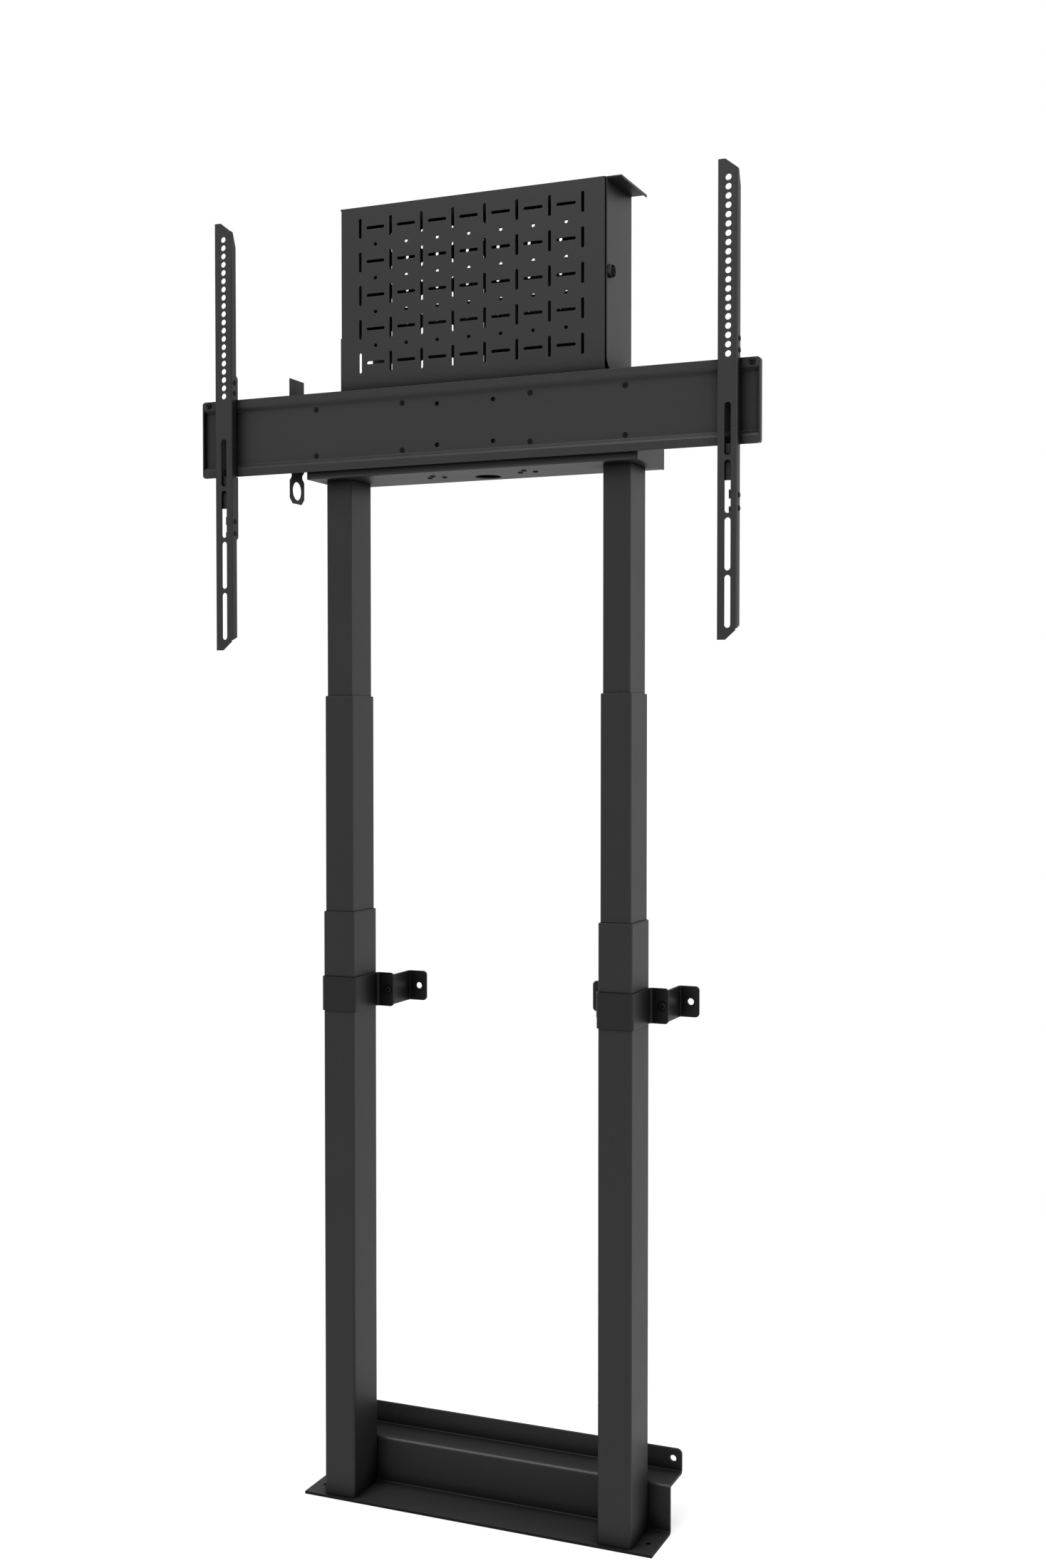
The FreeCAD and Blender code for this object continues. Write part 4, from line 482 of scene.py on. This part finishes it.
# Drive. Cast grey gear motors, bright turned screws and ivory nylon nuts,
# hidden in the tubes.
motor_paint = finish_material(
    "motor_paint",
    dark=(0.20, 0.21, 0.22),
    light=(0.26, 0.27, 0.28),
    edge=(0.4, 0.4, 0.41),
    roughness=0.42,
    specular=0.5,
    grain_size=500,
    depth=0.00005,
)
dress(pair("motor", "gearbox"), motor_paint)
turned_steel = finish_material(
    "turned_steel",
    dark=(0.52, 0.52, 0.53),
    light=(0.62, 0.62, 0.63),
    edge=(0.7, 0.7, 0.7),
    roughness=0.28,
    specular=0.5,
    grain_size=900,
    depth=0.00002,
    Metallic=1.0,
)
dress(pair("lower_screw", "upper_screw", "foot_plate", "head_plate"), turned_steel)
nut_nylon = finish_material(
    "nut_nylon",
    dark=(0.70, 0.68, 0.60),
    light=(0.78, 0.76, 0.69),
    edge=(0.85, 0.83, 0.77),
    roughness=0.5,
    specular=0.5,
    grain_size=600,
    depth=0.00003,
)
dress(pair("lower_nut", "upper_nut"), nut_nylon)


# Electronics. Two black plastic cases with a fine spark-eroded grain, screwed
# down on the floor of the crossbeam.
case_plastic = finish_material(
    "case_plastic",
    dark=(0.03, 0.03, 0.032),
    light=(0.04, 0.04, 0.042),
    edge=(0.07, 0.07, 0.072),
    roughness=0.55,
    specular=0.4,
    grain_size=900,
    depth=0.00008,
)
dress(["control_unit", "power_supply"], case_plastic)


# Screws. Black-oxide steel with rolled threads. Pan heads have a rounded rim,
# countersunk heads a flat top, and each head has a hexagon socket.
black_oxide = finish_material(
    "black_oxide",
    dark=(0.004, 0.004, 0.0045),
    light=(0.007, 0.007, 0.0075),
    edge=(0.03, 0.03, 0.032),
    roughness=0.45,
    specular=0.1,
    grain_size=1400,
    depth=0.00003,
    reach=0.004,
)


def pick(piece, choose, kind="FACE"):
    """Selects the faces or edges of a piece for which choose() is true, in edit mode."""
    bpy.ops.object.mode_set(mode="EDIT")
    bpy.ops.mesh.select_mode(type=kind)
    bpy.ops.mesh.select_all(action="DESELECT")
    bpy.ops.object.mode_set(mode="OBJECT")
    parts = piece.data.polygons if kind == "FACE" else piece.data.edges
    for part in parts:
        part.select = choose(part)
    bpy.ops.object.mode_set(mode="EDIT")


hair = 1e-6


def level(piece, edge, z):
    """True when both ends of an edge lie at a height."""
    return all(abs(piece.data.vertices[i].co.z - z) < hair for i in edge.vertices)


def faces_down(face):
    """True for a face that looks down."""
    return face.normal.z < -0.99


def sink_socket(screw, top, across, deep):
    """Cuts a hexagon socket in the top of a screw that stands on the Z axis."""
    bpy.ops.object.mode_set(mode="OBJECT")
    deselect()
    bpy.ops.mesh.primitive_cylinder_add(
        vertices=6, radius=across / math.sqrt(3), depth=2 * deep, location=(0, 0, top)
    )
    key = bpy.context.object
    bpy.ops.object.transform_apply()
    deselect()
    screw.select_set(True)
    bpy.context.view_layer.objects.active = screw
    bpy.ops.object.modifier_add(type="BOOLEAN")
    screw.modifiers[-1].object = key
    screw.modifiers[-1].operation = "DIFFERENCE"
    screw.modifiers[-1].solver = "EXACT"
    bpy.ops.object.modifier_apply(modifier=screw.modifiers[-1].name)
    bpy.data.objects.remove(key)


def pull_down(depth, share=1):
    """Extrudes the selected faces down, and narrows or widens them about the Z axis."""
    bpy.ops.mesh.extrude_region_move(TRANSFORM_OT_translate={"value": (0, 0, -depth)})
    if share != 1:
        bpy.ops.transform.resize(value=(share, share, 1), center_override=(0, 0, 0))


def draw_shank(screw, seat, length, radius):
    """Pulls a threaded shank down from the faces at the seat's height that look down."""
    pitch, thread_depth, tip = 0.0008, 0.0003, 0.8
    crest = 1.0 - thread_depth / radius
    pick(screw, lambda face: faces_down(face) and abs(face.center.z - seat) < hair)
    turns = int(length / pitch) - 1
    for i in range(turns):
        pull_down(pitch, crest if i % 2 == 0 else 1 / crest)
    pull_down(length - turns * pitch, tip)
    bpy.ops.object.mode_set(mode="OBJECT")


def blank(name, radius, height, vertices=48):
    """Cylinder on the Z axis that stands on the origin, the start of a round piece."""
    deselect()
    bpy.ops.mesh.primitive_cylinder_add(
        vertices=vertices, radius=radius, depth=height, location=(0, 0, height / 2)
    )
    piece = bpy.context.object
    piece.name = name
    bpy.ops.object.transform_apply()
    return piece


def pan_screw(name, head_radius, head_height, shank_radius, length):
    """Pan-head screw, its seat at the origin, head up and shank down.

    The ring round the shank's outline goes down with it, so the shank comes out as
    thick as the head. It is hidden, but for the strap screws' ends.
    """
    rim = head_height * 0.55
    socket_across, socket_depth = shank_radius * 1.3, head_height * 0.6
    screw = blank(name, head_radius, head_height)
    pick(screw, lambda edge: level(screw, edge, head_height), "EDGE")
    bpy.ops.mesh.bevel(offset=rim, segments=4, affect="EDGES")
    pick(screw, faces_down)
    bpy.ops.mesh.inset(thickness=head_radius - shank_radius)
    bpy.ops.object.mode_set(mode="OBJECT")
    draw_shank(screw, 0, length, shank_radius)
    sink_socket(screw, head_height, socket_across, socket_depth)
    return screw


def flush_screw(name, head_radius, shank_radius, length):
    """Countersunk screw, its flat top at the origin and shank down."""
    sink = head_radius - shank_radius
    rim = 0.00025
    socket_across, socket_depth = shank_radius * 1.25, sink * 0.9
    deselect()
    bpy.ops.mesh.primitive_cone_add(
        vertices=48,
        radius1=shank_radius,
        radius2=head_radius,
        depth=sink,
        location=(0, 0, -sink / 2),
    )
    screw = bpy.context.object
    screw.name = name
    bpy.ops.object.transform_apply()
    pick(screw, lambda edge: level(screw, edge, 0), "EDGE")
    bpy.ops.mesh.bevel(offset=rim, segments=2, affect="EDGES")
    bpy.ops.object.mode_set(mode="OBJECT")
    draw_shank(screw, -sink, length - sink, shank_radius)
    sink_socket(screw, 0, socket_across, socket_depth)
    return screw


def stand(model, place):
    """Copies a fastener, with a mesh of its own, to a place."""
    copy = model.copy()
    copy.data = model.data.copy()
    copy.data.transform(place)
    bpy.context.scene.collection.objects.link(copy)
    return copy


def fit_set(copies, name, replaced, body):
    """Joins copies to one piece, blackens it and fits it to its body in the node's place."""
    deselect()
    for copy in copies:
        copy.select_set(True)
    bpy.context.view_layer.objects.active = copies[0]
    if len(copies) > 1:
        bpy.ops.object.join()
    joined = bpy.context.object
    joined.name = name
    joined.data.name = name
    bpy.ops.object.shade_smooth_by_angle(angle=math.radians(35))
    joined.data.materials.clear()
    joined.data.materials.append(black_oxide)
    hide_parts(replaced)
    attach(joined, body)


def set_out(model, name, places, tip, replaced, body):
    """Copies a screw to each place with its tip towards a direction, as one piece."""
    turn = Vector((0, 0, -1)).rotation_difference(Vector(tip)).to_matrix().to_4x4()
    copies = [stand(model, Matrix.Translation(spot) @ turn) for spot in places]
    fit_set(copies, name, replaced, body)
    bpy.data.objects.remove(model)


# Bar screws. Eight countersunk steel screws hold the bar's web on the front
# of the beam. Their heads lie a little below its face.
beam_front, bar_middle, bar_sheet = -0.066, 1.6295, 0.003
bar_screw_columns = (-0.2475, -0.1025, 0.1025, 0.2475)
bar_screw_rise, bar_screw_sink = 0.035, 0.0011
web_front = beam_front - bar_sheet
bar_screw = flush_screw("bar_screw_model", head_radius=0.0036, shank_radius=0.003, length=0.0102)
set_out(
    bar_screw,
    "bar_screw_set",
    places=[
        (x, web_front + bar_screw_sink, bar_middle + way * bar_screw_rise)
        for x in bar_screw_columns
        for way in (-1, 1)
    ],
    tip=(0, 1, 0),
    replaced="bar_screws",
    body="head",
)


# End stops. A small steel screw at each upper corner of the bar, driven into
# its lip from the front. It keeps the arms from sliding off.
bar_lip, end_stop_x, end_stop_height = 0.006, 0.433, 1.682
lip_front = web_front - bar_lip
end_stop = pan_screw(
    "end_stop_model", head_radius=0.004, head_height=0.003, shank_radius=0.002, length=0.003
)
set_out(
    end_stop,
    "end_stop_set",
    places=[(way * end_stop_x, lip_front, end_stop_height) for way in (-1, 1)],
    tip=(0, 1, 0),
    replaced="end_stops",
    body="head",
)


# Strap screws. Two stout steel screws beside each column clamp its strap to
# the wall bracket behind it.
column_x, column_y = 0.2245, -0.008
strap_screw_x, strap_face, strap_middle = 0.0475, 0.0275, 0.7795
strap_screw = pan_screw(
    "strap_screw_model", head_radius=0.0055, head_height=0.0035, shank_radius=0.003, length=0.0095
)
set_out(
    strap_screw,
    "strap_screw_set",
    places=[
        (side * column_x + way * strap_screw_x, strap_face, strap_middle)
        for side in (-1, 1)
        for way in (-1, 1)
    ],
    tip=(0, 1, 0),
    replaced="strap_screws",
    body="base",
)


# Case screws. Three low steel screws from below hold each of the two cases
# on the beam's floor.
beam_foot = 1.561
case_screw_spots = ((0.062, 0.058), (0.074, 0.042), (0.086, 0.058))
case_screw = pan_screw(
    "case_screw_model", head_radius=0.004, head_height=0.0016, shank_radius=0.002, length=0.006
)
set_out(
    case_screw,
    "case_screw_set",
    places=[(way * x, beam_front + y, beam_foot) for way in (-1, 1) for x, y in case_screw_spots],
    tip=(0, 0, 1),
    replaced="case_screws",
    body="head",
)


# Head and foot screws. Four steel screws join the beam's floor to each
# column's head, and four more, countersunk from below, the floor bracket to
# each column's foot.
beam_sheet, end_screw_x, end_screw_y = 0.002, 0.013, 0.022
end_screw_places = [
    (side * column_x + way_x * end_screw_x, column_y + way_y * end_screw_y)
    for side in (-1, 1)
    for way_x in (-1, 1)
    for way_y in (-1, 1)
]
head_screw = pan_screw(
    "head_screw_model", head_radius=0.0055, head_height=0.0032, shank_radius=0.003, length=0.007
)
set_out(
    head_screw,
    "head_screw_set",
    places=[(x, y, beam_foot + beam_sheet) for x, y in end_screw_places],
    tip=(0, 0, -1),
    replaced="head_screws",
    body="head",
)
foot_screw = flush_screw("foot_screw_model", head_radius=0.0055, shank_radius=0.003, length=0.010)
set_out(
    foot_screw,
    "foot_screw_set",
    places=[(x, y, 0) for x, y in end_screw_places],
    tip=(0, 0, 1),
    replaced="foot_screws",
    body="base",
)


# Holder and rail screws. Four small steel screws hold the holder's foot on
# top of the beam, and three the rail that its tray slides on.
beam_top = 1.6895
holder_screw_columns, holder_screw_from_front = (-0.2175, -0.070, 0.070, 0.200), 0.021
holder_screw_y = beam_front + holder_screw_from_front
rail_screw_columns = (-0.180, 0.0, 0.180)
rail_low, rail_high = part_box("rail_screws")
rail_screw_y = (rail_low[1] + rail_high[1]) / 2
seat_height = beam_top + beam_sheet
holder_screw = pan_screw(
    "holder_screw_model", head_radius=0.004, head_height=0.0022, shank_radius=0.002, length=0.008
)
set_out(
    holder_screw,
    "holder_screw_set",
    places=[(x, holder_screw_y, seat_height) for x in holder_screw_columns],
    tip=(0, 0, -1),
    replaced="holder_screws",
    body="head",
)
rail_screw = pan_screw(
    "rail_screw_model", head_radius=0.004, head_height=0.0022, shank_radius=0.002, length=0.008
)
set_out(
    rail_screw,
    "rail_screw_set",
    places=[(x, rail_screw_y, seat_height) for x in rail_screw_columns],
    tip=(0, 0, -1),
    replaced="rail_screws",
    body="head",
)


# Arm fasteners. Four domed steel rivets set through each arm's flange and its
# hook plate, and the two shouldered screws that the catch slides on.
def rivet(name, grip):
    """Rivet on the Z axis with a domed head above the origin and one below the grip."""
    head_radius, head_height, shank_radius = 0.0038, 0.0012, 0.0025
    dome = head_height * 0.8
    pin = blank(name, head_radius, head_height)
    pick(pin, faces_down)
    bpy.ops.mesh.inset(thickness=head_radius - shank_radius)
    pull_down(grip)
    pull_down(0, head_radius / shank_radius)
    pull_down(head_height)
    low = -grip - head_height
    pick(pin, lambda edge: level(pin, edge, head_height) or level(pin, edge, low), "EDGE")
    bpy.ops.mesh.bevel(offset=dome, segments=5, affect="EDGES")
    bpy.ops.object.mode_set(mode="OBJECT")
    return pin


grip = 0.0055
rivet_line, rivet_rises = -0.079, (0.084, 0.068, -0.128, -0.146)
slide_screw_line, slide_screw_rises = -0.076, (-0.074, -0.092)
flange_from_holes = 0.0132
shoulder = 0.00305
rivet_model = rivet("rivet_model", grip)
slide_model = pan_screw(
    "slide_screw_model", head_radius=0.0045, head_height=0.0025, shank_radius=0.0025, length=0.006
)
outward = Matrix.Rotation(math.radians(90), 4, "Y")
inward = Matrix.Rotation(math.radians(-90), 4, "Y")
for side, hole_line in (("left", -0.397), ("right", 0.403)):
    flange = hole_line + flange_from_holes
    hook_inside = flange - grip
    pieces = []
    for rise in rivet_rises:
        seat = Matrix.Translation((flange, rivet_line, bar_middle + rise))
        pieces.append(stand(rivet_model, seat @ outward))
    for rise in slide_screw_rises:
        seat = Matrix.Translation((hook_inside - shoulder, slide_screw_line, bar_middle + rise))
        pieces.append(stand(slide_model, seat @ inward))
    fit_set(pieces, "arm_fastener_set_" + side, "arm_fasteners_" + side, "arm_" + side)
bpy.data.objects.remove(rivet_model)
bpy.data.objects.remove(slide_model)


# Knob. Thumb screw moulded from black plastic, at the front edge of the
# tray's cheek. It has a fluted rim, a dished face and a short shaft.
knob_plastic = finish_material(
    "knob_plastic",
    dark=(0.010, 0.010, 0.0105),
    light=(0.014, 0.014, 0.0145),
    edge=(0.03, 0.03, 0.031),
    roughness=0.4,
    specular=0.25,
    grain_size=800,
    depth=0.00003,
)
knob_radius, knob_length, knob_rim, knob_dish = 0.0075, 0.007, 0.0012, 0.0007
shaft_radius, shaft_length = 0.0031, 0.007
flutes, flute_share, dish_share = 24, 0.93, 0.9
knob = blank("fluted_knob", knob_radius, knob_length, vertices=3 * flutes)


def in_flute(edge):
    """True for every third upright edge of the knob."""
    a, b = (knob.data.vertices[i].co for i in edge.vertices)
    if abs(a.z - b.z) < knob_length / 2:
        return False
    turn = math.atan2(a.y, a.x) / (2 * math.pi) * 3 * flutes
    return round(turn) % 3 == 0


pick(knob, in_flute, "EDGE")
bpy.ops.transform.resize(value=(flute_share, flute_share, 1), center_override=(0, 0, 0))
pick(knob, lambda edge: level(knob, edge, knob_length), "EDGE")
bpy.ops.mesh.bevel(offset=knob_rim, segments=3, affect="EDGES")
pick(knob, lambda face: face.normal.z > 0.99)
bpy.ops.mesh.inset(thickness=knob_rim)
pull_down(knob_dish, dish_share)
pick(knob, faces_down)
bpy.ops.mesh.inset(thickness=knob_radius - shaft_radius)
pull_down(shaft_length)
bpy.ops.object.mode_set(mode="OBJECT")
knob_low, knob_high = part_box("lock_knob")
knob_y, knob_z = ((knob_low[i] + knob_high[i]) / 2 for i in (1, 2))
knob_seat = (knob_high[0] - knob_length, knob_y, knob_z)
knob.data.transform(Matrix.Translation(knob_seat) @ Matrix.Rotation(math.radians(90), 4, "Y"))
bpy.ops.object.shade_smooth_by_angle(angle=math.radians(30))
knob.data.materials.append(knob_plastic)
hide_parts("lock_knob")
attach(knob, "knob")
